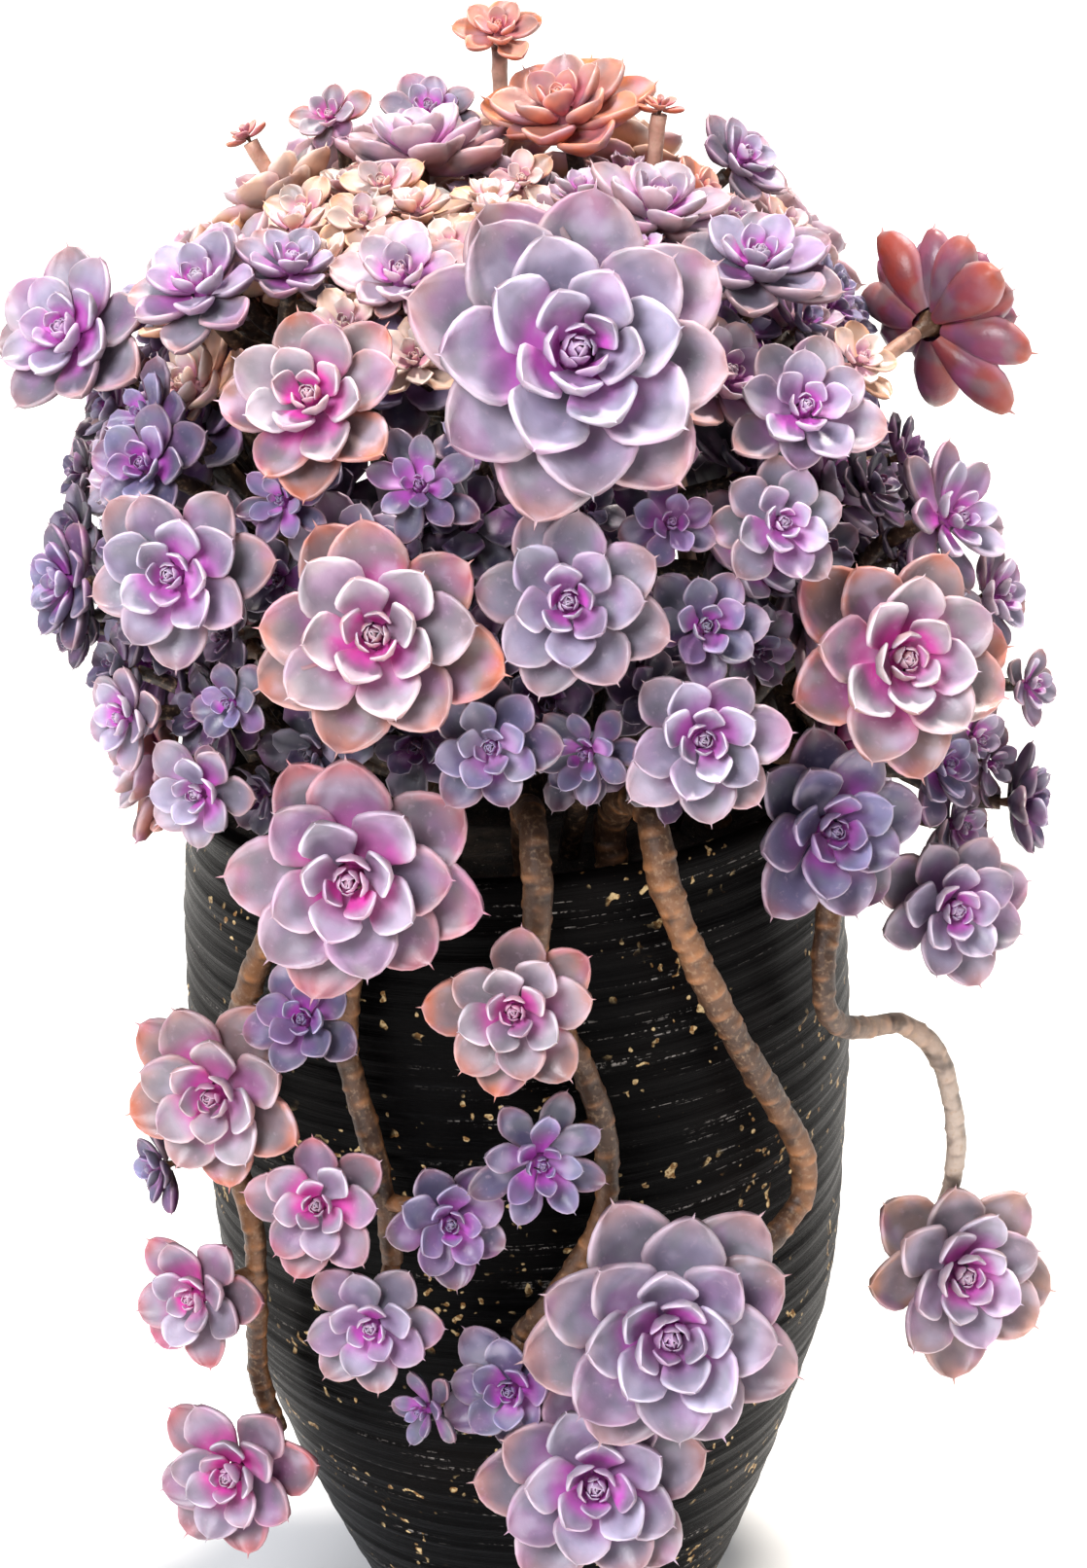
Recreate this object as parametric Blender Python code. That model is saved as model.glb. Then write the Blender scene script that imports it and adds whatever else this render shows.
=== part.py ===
"""Potted graptopetalum: a dark clay urn, its soil, and a dome of leaf rosettes with stems that trail
down its sides. Metres, +Z up. The origin is the middle of the urn's base, and the front faces -Y."""

import math
import random
from dataclasses import dataclass, field
from itertools import permutations

import bpy
from mathutils import Vector
from mathutils.bvhtree import BVHTree

MM = 0.001
UP = Vector((0, 0, 1))

# The urn: radius and height of its outer profile from the base up, in millimetres.
POT_OUTSIDE = [
    (66, 0), (86, 48), (102, 86), (118, 128), (132, 170), (142, 205), (147, 240), (151, 300),
    (153, 350), (150, 420), (145, 455), (145, 466), (141, 470),
]
POT_INSIDE = [(136, 466), (136, 452), (142, 400), (143, 300), (131, 200), (60, 12)]
POT_SEGMENTS = 30
DRAIN_REACH = 36
DRAIN_RADIUS = 6
DRAIN_COUNT = 3
DRAIN_SIDES = 8

# The soil fills the urn to a little under the rim.
SOIL_GAP = 0.5
SOIL_TOP = 458
HOLE_DEPTH = 24
HOLE_GAP = 0.5
HOLE_CORNER = 1.6
CUTTER_TOP = 20

# Rosettes: leaves follow the golden angle, so leaf i lies under leaves i + 3 and i + 5.
GOLDEN = 137.508
RIGHT_STEP = 3
LEFT_STEP = 5
LEAN = (RIGHT_STEP * GOLDEN - 360 + LEFT_STEP * GOLDEN - 720) / 2
CORE_RADIUS = 0.17
CORE_HEIGHT = 0.30
CORE_TAPER = 0.62
CORE_CURVE = 1.6
BUD_HEIGHT = 1.55
CORE_SUNK = 0.16
NECK = 0.22
LEAF_COUNTS = [(13, 5), (19, 7), (25, 8), (32, 9), (43, 10), (50, 12), (99, 15)]
ROUND_LEAF_RADIUS = 44

# Leaf shape, as shares of the leaf's length, and how it bends, in degrees.
WIDEST_AT = 0.70
SHOULDER_AT = 0.88
ROUND_HALF_WIDTH = 0.42
PLAIN_HALF_WIDTH = 0.53
PLAIN_BEND = 0
LEAF_CUP = 0.08
SHOULDER_WIDTH = 0.62
LEAF_DEPTH = 0.12
SHOULDER_THINNER = 0.4
SHOULDER_BEND = 10
TIP_BEND = 18
OUTER_RISE = 6
INNER_RISE = 78
MOST_RISE = 98
RISE_CURVE = 1.6
INNER_SHORTER = 0.5
SHORTER_CURVE = 1.8

# Ways a leaf makes room for its neighbours, the first that is clear: share of length and bend.
FITS = [
    (1.22, -8), (1.1, -6), (1.0, 0), (1.0, -10), (0.88, 0), (0.88, -14), (0.76, 0), (0.76, -18),
    (0.76, 8), (0.62, 0), (0.62, -20), (0.62, 10), (0.48, 0), (0.48, 12),
]
CLEARANCE = 0.45

# Leaves are given room from the middle of each head outwards, the large heads a little ahead.
LARGE_HEAD = 34
LARGE_FIRST = 0.3


@dataclass
class Head:
    """A rosette: where its middle is, which way it faces, and its size, in millimetres."""
    name: str
    azimuth: float
    reach: float
    height: float
    turn: float
    tilt: float
    radius: float
    tint: str
    stem: str = ""
    leaves: int = 0
    fits: dict = field(default_factory=dict)


# Heads seen from the front: azimuth from the front, reach from the axis, height, the azimuth and
# elevation each one faces, radius and tint.
DOME_HEADS = [
    Head("crown", 11, 188, 704, 6, 26, 62, "lilac"),
    Head("olive", -21, 183, 687, -14, 38, 37, "peach"),
    Head("left_shoulder", -77, 177, 684, -35, 35, 37, "lilac"),
    Head("left_pink", -49, 148, 715, -30, 60, 32, "lilac"),
    Head("left_fan", -40, 118, 720, 30, 70, 26, "lilac"),
    Head("right_white", 54, 140, 709, 20, 66, 34, "lilac"),
    Head("right_mid", 40, 195, 667, 12, 38, 31, "lilac"),
    Head("brown_small", 64, 172, 666, 40, 45, 18, "peach"),
    Head("dark_a", -8, 186, 655, -8, 30, 23, "slate"),
    Head("dark_b", -48, 184, 650, -30, 30, 27, "slate"),
    Head("purple", -36, 212, 620, -15, 18, 36, "lilac"),
    Head("left_edge", -63, 200, 592, -60, 15, 26, "slate"),
    Head("dark_c", -26, 184, 646, -20, 25, 20, "slate"),
    Head("pink_big", -12, 218, 605, -4, 22, 46, "peach"),
    Head("grey_mid", 8, 208, 612, 0, 22, 37, "lilac"),
    Head("dark_d", 22, 188, 632, 10, 25, 19, "slate"),
    Head("slate_mid", 24, 202, 592, 10, 22, 24, "slate"),
    Head("purple_right", 34, 204, 628, 14, 22, 27, "lilac"),
    Head("lilac_right", 63, 212, 602, 45, 20, 32, "lilac"),
    Head("orange_big", 47, 221, 562, 18, 18, 46, "peach"),
    Head("edge_right_a", 73, 222, 556, 62, 14, 24, "lilac"),
    Head("edge_right_b", 80, 234, 506, 50, 10, 18, "lilac"),
    Head("grey_low", -1, 211, 556, -5, 18, 26, "slate"),
    Head("slate_low", 10, 196, 545, -20, 8, 22, "slate"),
    Head("pink_heart", 21, 220, 553, 5, 15, 33, "lilac"),
    Head("small_left", -31, 207, 567, -25, 15, 17, "slate"),
    Head("lilac_left", -46, 211, 552, -50, 10, 22, "lilac"),
    Head("left_low", -37, 204, 524, -25, 8, 25, "lilac"),
    Head("big_low", -17, 212, 501, -5, 10, 49, "rose"),
    Head("fan_low", 40, 204, 492, 20, 10, 39, "slate"),
    Head("dark_right", 64, 206, 490, 50, 20, 24, "slate"),
    Head("side_right", 79, 232, 452, 80, 0, 26, "slate"),
    Head("right_low", 62, 213, 428, 20, 10, 35, "lilac"),
    Head("top_left_a", -138, 95, 747, -20, 45, 18, "peach"),
    Head("top_left_b", -167, 92, 743, 0, 55, 22, "lilac"),
    Head("top_peach", 141, 62, 748, -40, 70, 40, "peach"),
    Head("top_beige", 100, 20, 730, 0, 45, 16, "peach"),
    Head("top_lilac", 121, 136, 719, 55, 42, 24, "lilac"),
    Head("beige_a", -88, 40, 731, -10, 60, 20, "peach"),
    Head("beige_b", -88, 74, 722, -20, 55, 19, "peach"),
    Head("beige_c", -50, 62, 726, 0, 55, 18, "peach"),
    Head("orange_right", 102, 98, 716, 75, 35, 20, "peach"),
    Head("pale_right", 104, 138, 697, 70, 50, 17, "peach"),
    Head("right_back", 98, 203, 655, 132, 14, 45, "rose"),
    Head("top_bud", 172, 88, 778, 0, 62, 20, "peach"),
    Head("stem_left", -113, 108, 748, -100, 65, 10, "peach"),
    Head("stem_right", 116, 90, 752, 60, 80, 10, "peach"),
]

# Heads on the stems that trail down the urn.
TRAILING_HEADS = [
    Head("centre", 0, 193, 434, -4, 15, 34, "peach", "centre"),
    Head("blue", 2, 190, 362, 10, 10, 29, "slate", "centre"),
    Head("under_dark", -3, 178, 246, -20, 20, 30, "slate", "centre"),
    Head("cluster_dark", -28, 187, 420, -15, 30, 25, "slate", "left"),
    Head("cluster_orange", -40, 198, 382, -20, 10, 40, "peach", "far_left"),
    Head("cluster_rose", -27, 192, 337, -10, 20, 30, "rose", "left"),
    Head("cluster_side", -10, 189, 334, 10, 12, 27, "slate", "left"),
    Head("cluster_low", -21, 190, 281, -8, 15, 30, "lilac", "left"),
    Head("cluster_back", -60, 188, 318, -66, 0, 19, "slate", "far_left"),
    Head("left_rose", -47, 199, 276, -30, 12, 31, "rose", "far_left"),
    Head("bottom_left", -51, 178, 171, -25, 10, 38, "rose", "far_left"),
    Head("bottom_big", 16, 206, 284, 5, 12, 54, "lilac", "long"),
    Head("bottom_mid", 7, 194, 208, 0, 15, 47, "lilac", "long"),
    Head("right_hang", 73, 204, 226, 20, 12, 45, "lilac", "loop"),
    Head("back_a", 128, 196, 372, 128, 14, 34, "lilac", "back_right"),
    Head("back_b", 138, 190, 286, 139, 14, 28, "rose", "back_right"),
    Head("back_c", 158, 198, 396, 158, 14, 38, "peach", "back"),
    Head("back_d", 168, 197, 300, 168, 12, 30, "lilac", "back"),
    Head("back_e", 152, 180, 214, 150, 12, 26, "slate", "back"),
    Head("back_f", -148, 197, 372, -148, 14, 36, "lilac", "back_left"),
    Head("back_g", -140, 190, 280, -138, 12, 28, "slate", "back_left"),
]

# The way each trailing stem takes out of the soil and over the rim: reach and height.
OVER_RIM = [(111, 434), (111, 456), (112, 476), (130, 495), (153, 494)]

# The trailing stems' routes down the urn: azimuth, reach and height, and radii.
STEMS = {
    "long": ([(23, 163, 470),
              (26, 165, 441), (30, 167, 412), (35, 168, 381), (41, 168, 350), (46, 168, 322),
              (46, 168, 300), (40, 168, 288), (30, 170, 276), (18, 168, 262), (10, 162, 240),
              (7, 164, 222)], 7.5, 4.5),
    "loop": ([(55, 163, 470), (56, 165, 430), (53, 167, 400), (54, 168, 378), (61, 171, 364), (68, 184, 358),
              (72, 197, 338), (74, 203, 305), (75, 203, 280), (77, 198, 255), (79, 190, 238)], 6.5, 4.0),
    "centre": ([(4, 163, 468),
                (3, 164, 440), (4, 165, 420), (9, 166, 393), (12, 167, 356), (11, 166, 318),
                (4, 164, 285), (-2, 160, 262)], 7.0, 4.5),
    "left": ([(-23, 162, 470),
              (-25, 165, 430), (-26, 166, 400), (-24, 167, 372), (-22, 167, 345), (-21, 166, 315),
              (-21, 165, 298)], 7.0, 4.5),
    "far_left": ([(-34, 162, 470), (-43, 165, 420), (-50, 167, 370), (-50, 167, 330),
                  (-47, 166, 295), (-49, 164, 250), (-53, 158, 210), (-52, 152, 180)], 6.5, 4.5),
    "back_right": ([(124, 162, 468), (126, 165, 420), (132, 167, 370), (135, 167, 325),
                    (138, 165, 292)], 6.5, 4.5),
    "back": ([(160, 162, 468),
              (161, 165, 420), (163, 167, 370), (166, 167, 315), (162, 164, 270),
              (155, 157, 228)], 7.0, 4.5),
    "back_left": ([(-151, 162, 468), (-150, 165, 420), (-146, 167, 370), (-142, 167, 325),
                   (-140, 165, 288)], 6.5, 4.5),
}
STEM_SIDES = 5
STEM_STEP = 22

# The dome's profile, reach and height, where the heads that the photograph hides are set by rule.
# Each zone reaches to an azimuth and has its lowest height, its largest radius and a share of the
# profile's reach: in front and at the sides they sit inside the heads that the photograph shows.
DOME = [(0, 735), (60, 736), (115, 722), (158, 695), (188, 650), (203, 595), (205, 540),
        (200, 490), (190, 450)]
TILT_SHARE = 0.8
LEAST_TILT = 12
MOST_TILT = 85
FILL_SEED = 11
FILL_RADII = [43, 40, 37, 34, 30, 26, 22, 18]
FILL_TRIES = 900
FILL_SPACING = 0.74
FILL_LIMIT = 52
FILL_ZONES = [(55, 590, 30, 0.86), (125, 490, 37, 0.80), (180, 440, 43, 1.0)]
FILL_LOWER = 0.75
FILL_TURN = 12
FILL_TINTS = ["lilac", "peach", "slate", "lilac", "rose"]

# Stems inside the dome branch at a knot: how many stand in each ring, the azimuth of its first,
# reach and height, and the reach of its hole in the soil.
KNOT_RINGS = [(1, 0, 0, 655, 0), (5, 20, 66, 660, 32), (6, 10, 112, 600, 62), (12, 15, 126, 508, 95)]
KNOT_SIZE = 5
KNOT_HALF = 6
TRUNK_HALF = 4.0
TRUNK_UPRIGHT = 14
ARM_HALF = 2.8
MOST_ARMS = 5
ARM_SPREAD = 30
ELBOWS = (0, 0.25, 0.45, 0.12)
KNOT_LEANS = (0.5, 1.0, 0.0)
MOST_SHARINGS = 40
MOST_FEET = 4
HANG_GAP = 0.8
HANG_TURNS = (0, 45)
MOST_SLANT = 0.8

COLOURS = {
    "lilac": (0.42, 0.33, 0.43),
    "peach": (0.60, 0.38, 0.33),
    "rose": (0.55, 0.28, 0.32),
    "slate": (0.22, 0.20, 0.30),
    "bark": (0.20, 0.12, 0.075),
    "clay": (0.018, 0.015, 0.013),
    "soil": (0.035, 0.024, 0.017),
}
ROUGHNESS = {
    "lilac": 0.55, "peach": 0.55, "rose": 0.55, "slate": 0.55, "bark": 0.8, "clay": 0.35, "soil": 0.95,
}
SMOOTH_ANGLE = 40
STEM_SMOOTH_ANGLE = 60


def place(azimuth, reach, height):
    """The point at an azimuth from the front (towards +X), a reach and a height."""
    angle = math.radians(azimuth)
    return Vector((math.sin(angle) * reach, -math.cos(angle) * reach, height)) * MM


def facing(turn, tilt):
    """The unit direction at an azimuth from the front and an elevation."""
    level = math.cos(math.radians(tilt))
    angle = math.radians(turn)
    return Vector((math.sin(angle) * level, -math.cos(angle) * level, math.sin(math.radians(tilt))))


def across(direction):
    """Two unit directions square to this one and to each other, in right-handed order."""
    helper = UP if abs(direction.z) < 0.95 else Vector((0, 1, 0))
    right = helper.cross(direction).normalized()
    return right, direction.cross(right)


class Shell:
    """A closed surface that grows ring by ring. Rings run anticlockwise, seen from the far end."""

    def __init__(self):
        self.points = []
        self.faces = []

    def add(self, points):
        first = len(self.points)
        self.points.extend(points)
        return list(range(first, len(self.points)))

    def bridge(self, near, far):
        """Joins two rings. Those of unlike numbers are turned to start at their nearest points."""
        if len(near) != len(far):
            start = self.points[near[0]]
            turn = min(range(len(far)), key=lambda k: (self.points[far[k]] - start).length)
            far = far[turn:] + far[:turn]
        i = j = 0
        while i < len(near) or j < len(far):
            a = near[i % len(near)]
            b = far[j % len(far)]
            if j == len(far) or (i < len(near) and (i + 1) * len(far) <= (j + 1) * len(near)):
                self.faces.append((a, near[(i + 1) % len(near)], b))
                i += 1
            else:
                self.faces.append((a, far[(j + 1) % len(far)], b))
                j += 1

    def fan(self, ring, apex):
        self.faces.extend((a, ring[(k + 1) % len(ring)], apex) for k, a in enumerate(ring))

    def cap(self, ring):
        self.faces.extend((ring[0], ring[k], ring[k + 1]) for k in range(1, len(ring) - 1))

    def base(self, ring):
        self.cap(ring[::-1])

    def tree(self):
        return BVHTree.FromPolygons(self.points, self.faces)

    def crosses_itself(self):
        tree = self.tree()
        return any(not set(self.faces[a]) & set(self.faces[b]) for a, b in tree.overlap(tree))


def square(centre, direction, half, lead=None):
    """Four points round an axis, turned so that the first lies nearest to a lead direction."""
    right, ahead = across(direction)
    if lead is not None:
        flat = lead - direction * lead.dot(direction)
        if flat.length > 1e-6:
            right = flat.normalized()
            ahead = direction.cross(right)
    return [centre + (right * math.cos(a) + ahead * math.sin(a)) * half * MM
            for a in (math.pi / 2 * k for k in range(4))]


def smooth_route(stops, step):
    """Points about one step apart along a smooth curve through the stops."""
    padded = [stops[0] * 2 - stops[1]] + stops + [stops[-1] * 2 - stops[-2]]
    fine = []
    for a, b, c, d in zip(padded, padded[1:], padded[2:], padded[3:]):
        for k in range(12):
            t = k / 12
            fine.append(0.5 * (b * 2 + (c - a) * t + (a * 2 - b * 5 + c * 4 - d) * t * t
                               + (b * 3 - a - c * 3 + d) * t ** 3))
    fine.append(stops[-1])
    lengths = [0.0]
    for a, b in zip(fine, fine[1:]):
        lengths.append(lengths[-1] + (b - a).length)
    count = max(2, round(lengths[-1] / (step * MM)))
    route = []
    k = 0
    for n in range(count + 1):
        goal = lengths[-1] * n / count
        while k < len(fine) - 2 and lengths[k + 1] < goal:
            k += 1
        share = (goal - lengths[k]) / max(lengths[k + 1] - lengths[k], 1e-9)
        route.append(fine[k].lerp(fine[k + 1], min(share, 1.0)))
    return route


def tube(route, radius_start, radius_end, sides):
    """A closed tapered tube along a route, its rings carried along without twist."""
    shell = Shell()
    last = len(route) - 1
    right = None
    rings = []
    for k, point in enumerate(route):
        along = (route[min(k + 1, last)] - route[max(k - 1, 0)]).normalized()
        if right is None:
            right = across(along)[0]
        right = (right - along * right.dot(along)).normalized()
        ahead = along.cross(right)
        radius = (radius_start + (radius_end - radius_start) * k / last) * MM
        turns = [2 * math.pi * n / sides for n in range(sides)]
        rings.append(shell.add([point + (right * math.cos(a) + ahead * math.sin(a)) * radius
                                for a in turns]))
    shell.base(rings[0])
    for near, far in zip(rings, rings[1:]):
        shell.bridge(near, far)
    shell.cap(rings[-1])
    return shell


class Rosette:
    """The lattice of one head: points up its short axis, with a leaf growing from each cell."""

    def __init__(self, head):
        self.head = head
        self.radius = head.radius
        self.leaves = head.leaves
        self.normal = facing(head.turn, head.tilt)
        self.right, self.ahead = across(self.normal)
        draw = random.Random(head.name)
        self.spin = draw.uniform(0, 360)
        self.core_radius = CORE_RADIUS * self.radius
        self.core_height = CORE_HEIGHT * self.radius
        self.centre = place(head.azimuth, head.reach, head.height)
        self.centre -= self.normal * CORE_SUNK * self.radius * MM
        self.round = head.radius >= ROUND_LEAF_RADIUS
        self.jitter = [(draw.uniform(-4, 4), draw.uniform(-3, 3), draw.uniform(0.93, 1.03))
                       for _ in range(self.leaves)]

    def at(self, azimuth, reach, height):
        angle = math.radians(azimuth + self.spin)
        flat = self.right * math.cos(angle) + self.ahead * math.sin(angle)
        return self.centre + (flat * reach + self.normal * height) * MM

    def core_point(self, i):
        share = i / (self.leaves + RIGHT_STEP + LEFT_STEP)
        reach = self.core_radius * (1 - CORE_TAPER * share ** CORE_CURVE)
        return self.at(i * GOLDEN, reach, self.core_height * share)

    def loop(self, first):
        """The numbers of the points round one end of the lattice, in order of azimuth."""
        numbers = range(first, first + RIGHT_STEP + LEFT_STEP)
        return sorted(numbers, key=lambda i: (i * GOLDEN) % 360)

    def cell(self, i):
        return (i, i + RIGHT_STEP, i + RIGHT_STEP + LEFT_STEP, i + LEFT_STEP)

    def leaf(self, i, root, fit, margin=0.0):
        """The sections of leaf i, from its widest to its tip. A plain leaf ends in one triangle."""
        length_share, bend = fit
        turn, lift, stretch = self.jitter[i]
        inward = i / max(self.leaves - 1, 1)
        angle = math.radians(i * GOLDEN + self.spin + LEAN + turn)
        out = self.right * math.cos(angle) + self.ahead * math.sin(angle)
        side = self.normal.cross(out)
        rise = OUTER_RISE + (INNER_RISE - OUTER_RISE) * inward ** RISE_CURVE + lift + bend
        reach = self.radius * (1 - INNER_SHORTER * inward ** SHORTER_CURVE) * stretch
        length = (reach - self.core_radius) * length_share
        spine = [sum(root, Vector()) / len(root)]
        aboves = []
        shares = (WIDEST_AT, SHOULDER_AT - WIDEST_AT, 1 - SHOULDER_AT)
        for share, extra in zip(shares, (0, SHOULDER_BEND, TIP_BEND)):
            angle = math.radians(min(rise + (extra if self.round else PLAIN_BEND), MOST_RISE))
            along = out * math.cos(angle) + self.normal * math.sin(angle)
            aboves.append(self.normal * math.cos(angle) - out * math.sin(angle))
            spine.append(spine[-1] + along * (length * share * MM))
        tip = spine[-1] + (spine[-1] - spine[-2]).normalized() * margin * MM
        sections = []
        widths = (PLAIN_HALF_WIDTH,)
        if self.round:
            widths = (ROUND_HALF_WIDTH, ROUND_HALF_WIDTH * SHOULDER_WIDTH)
        for n, width in enumerate(widths):
            wide = side * ((length * width + margin) * MM)
            cup = aboves[n] * ((length * LEAF_CUP + margin) * MM)
            depth = length * LEAF_DEPTH * (1 - SHOULDER_THINNER * n)
            keel = spine[n + 1] - aboves[n] * ((depth + margin) * MM)
            sections.append([keel if self.round else tip, spine[n + 1] + cup + wide,
                             spine[n + 1] + cup - wide])
        return sections, tip

    def grow_leaf(self, shell, root, sections, tip):
        ring = shell.add(sections[0])
        keel, right, top, left = root
        keel_far, right_far, left_far = ring
        shell.faces += [
            (keel, right, right_far), (keel, right_far, keel_far), (right, top, right_far),
            (top, left_far, right_far), (top, left, left_far), (left, keel, keel_far),
            (left, keel_far, left_far),
        ]
        if not self.round:
            shell.cap(ring)
            return
        end = shell.add(sections[1])
        shell.bridge(ring, end)
        shell.fan(end, shell.add([tip])[0])

    def leaf_guard(self, i, fit):
        """A leaf with a margin round it, closed, to test for room."""
        shell = Shell()
        root_points = [self.core_point(k) for k in self.cell(i)]
        sections, tip = self.leaf(i, root_points, fit, CLEARANCE)
        root = shell.add(root_points)
        shell.base(root)
        self.grow_leaf(shell, root, sections, tip)
        return shell

    def grow(self, shell, stem_end, leafless=False):
        """Adds the head to a shell, on the ring of points where its stem ends."""
        last = self.leaves + RIGHT_STEP + LEFT_STEP
        points = shell.add([self.core_point(i) for i in range(last)])
        shell.bridge(stem_end, [points[i] for i in self.loop(0)])
        for i in range(self.leaves):
            root = [points[k] for k in self.cell(i)]
            fit = self.head.fits.get(i)
            if fit and not leafless:
                sections, tip = self.leaf(i, [shell.points[k] for k in root], fit)
                self.grow_leaf(shell, root, sections, tip)
            else:
                shell.faces += [(root[0], root[1], root[2]), (root[0], root[2], root[3])]
        bud = shell.add([self.at(0, 0, self.core_height * BUD_HEIGHT)])[0]
        shell.fan([points[i] for i in self.loop(self.leaves)], bud)

    def neck_centre(self):
        return self.centre - self.normal * NECK * self.radius * MM

    def neck(self, lead):
        """The ring under the head where its stem takes over."""
        return square(self.neck_centre(), self.normal, ARM_HALF, lead)


def leaf_count(radius):
    return next(count for limit, count in LEAF_COUNTS if radius <= limit)


def dome_place(share):
    """Reach, height and the elevation faced at a share of the way down the dome's profile."""
    spot = share * (len(DOME) - 1)
    k = min(int(spot), len(DOME) - 2)
    (reach_a, height_a), (reach_b, height_b) = DOME[k], DOME[k + 1]
    part = spot - k
    slope = math.degrees(math.atan2(reach_b - reach_a, height_a - height_b))
    tilt = max(LEAST_TILT, min(MOST_TILT, slope * TILT_SHARE + LEAST_TILT))
    return reach_a + (reach_b - reach_a) * part, height_a + (height_b - height_a) * part, tilt


def fill_heads(placed):
    """Sets further heads over the dome, the largest first, wherever there is still room."""
    draw = random.Random(FILL_SEED)
    heads = []
    spots = [(place(h.azimuth, h.reach, h.height), h.radius) for h in placed]
    for radius in FILL_RADII:
        for _ in range(FILL_TRIES):
            if len(heads) == FILL_LIMIT:
                return heads
            azimuth = draw.uniform(-180, 180)
            reach, height, tilt = dome_place(draw.random() ** FILL_LOWER)
            _, lowest, largest, inset = next(zone for zone in FILL_ZONES if abs(azimuth) <= zone[0])
            if height < lowest or radius > largest:
                continue
            reach *= inset
            spot = place(azimuth, reach, height)
            if all((spot - other).length > FILL_SPACING * (radius + size) * MM
                   for other, size in spots):
                spots.append((spot, radius))
                heads.append(Head(f"fill_{len(heads)}", round(azimuth), round(reach), round(height),
                                  round(azimuth + draw.uniform(-FILL_TURN, FILL_TURN)),
                                  round(tilt), radius,
                                  FILL_TINTS[len(heads) % len(FILL_TINTS)]))
    return heads


def knots():
    """Name, place and hole of each knot where a stem inside the dome branches."""
    spots = []
    for ring, (count, first, reach, height, hole) in enumerate(KNOT_RINGS):
        for k in range(count):
            azimuth = first + 360 * k / count
            spots.append((f"branch_{ring}_{k}", place(azimuth, reach, height), place(azimuth, hole, 0)))
    return spots


def share_out(heads, spots):
    """Gives each head to a near knot behind it with an arm free, and no other head the same way."""
    groups = {name: [] for name, _, _ in spots}
    ways = {name: [] for name, _, _ in spots}
    for head in sorted(heads, key=lambda h: -h.radius):
        rosette = Rosette(head)

        def detour(spot):
            way = rosette.centre - spot[1]
            return way.length * (1.6 - way.normalized().dot(rosette.normal))

        free = sorted((spot for spot in spots if len(groups[spot[0]]) < MOST_ARMS), key=detour)
        clear = [(name, spot) for name, spot, _ in free
                 if all((rosette.centre - spot).angle(way) > math.radians(ARM_SPREAD) for way in ways[name])]
        name, spot = clear[0] if clear else free[0][:2]
        groups[name].append(head)
        ways[name].append(rosette.centre - spot)
    return groups


def round_about(hole):
    """A level direction that runs round the urn's axis at a hole, for squares to line up with."""
    return UP.cross(hole) if hole.length > 1e-6 else Vector((1, 0, 0))


def trunk_post(hole, half, low, high):
    """Two square rings of an upright post round a hole's middle."""
    lead = round_about(hole)
    return [square(Vector((hole.x, hole.y, height * MM)), UP, half, lead) for height in (low, high)]


def hole_post(hole):
    """What the soil's hole for a trunk takes out."""
    shell = Shell()
    half = TRUNK_HALF + HOLE_GAP * HOLE_CORNER
    low = SOIL_TOP - HOLE_DEPTH - HOLE_GAP
    rings = [shell.add(ring) for ring in trunk_post(hole, half, low, SOIL_TOP + CUTTER_TOP)]
    shell.base(rings[0])
    shell.bridge(*rings)
    shell.cap(rings[1])
    return shell


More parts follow.
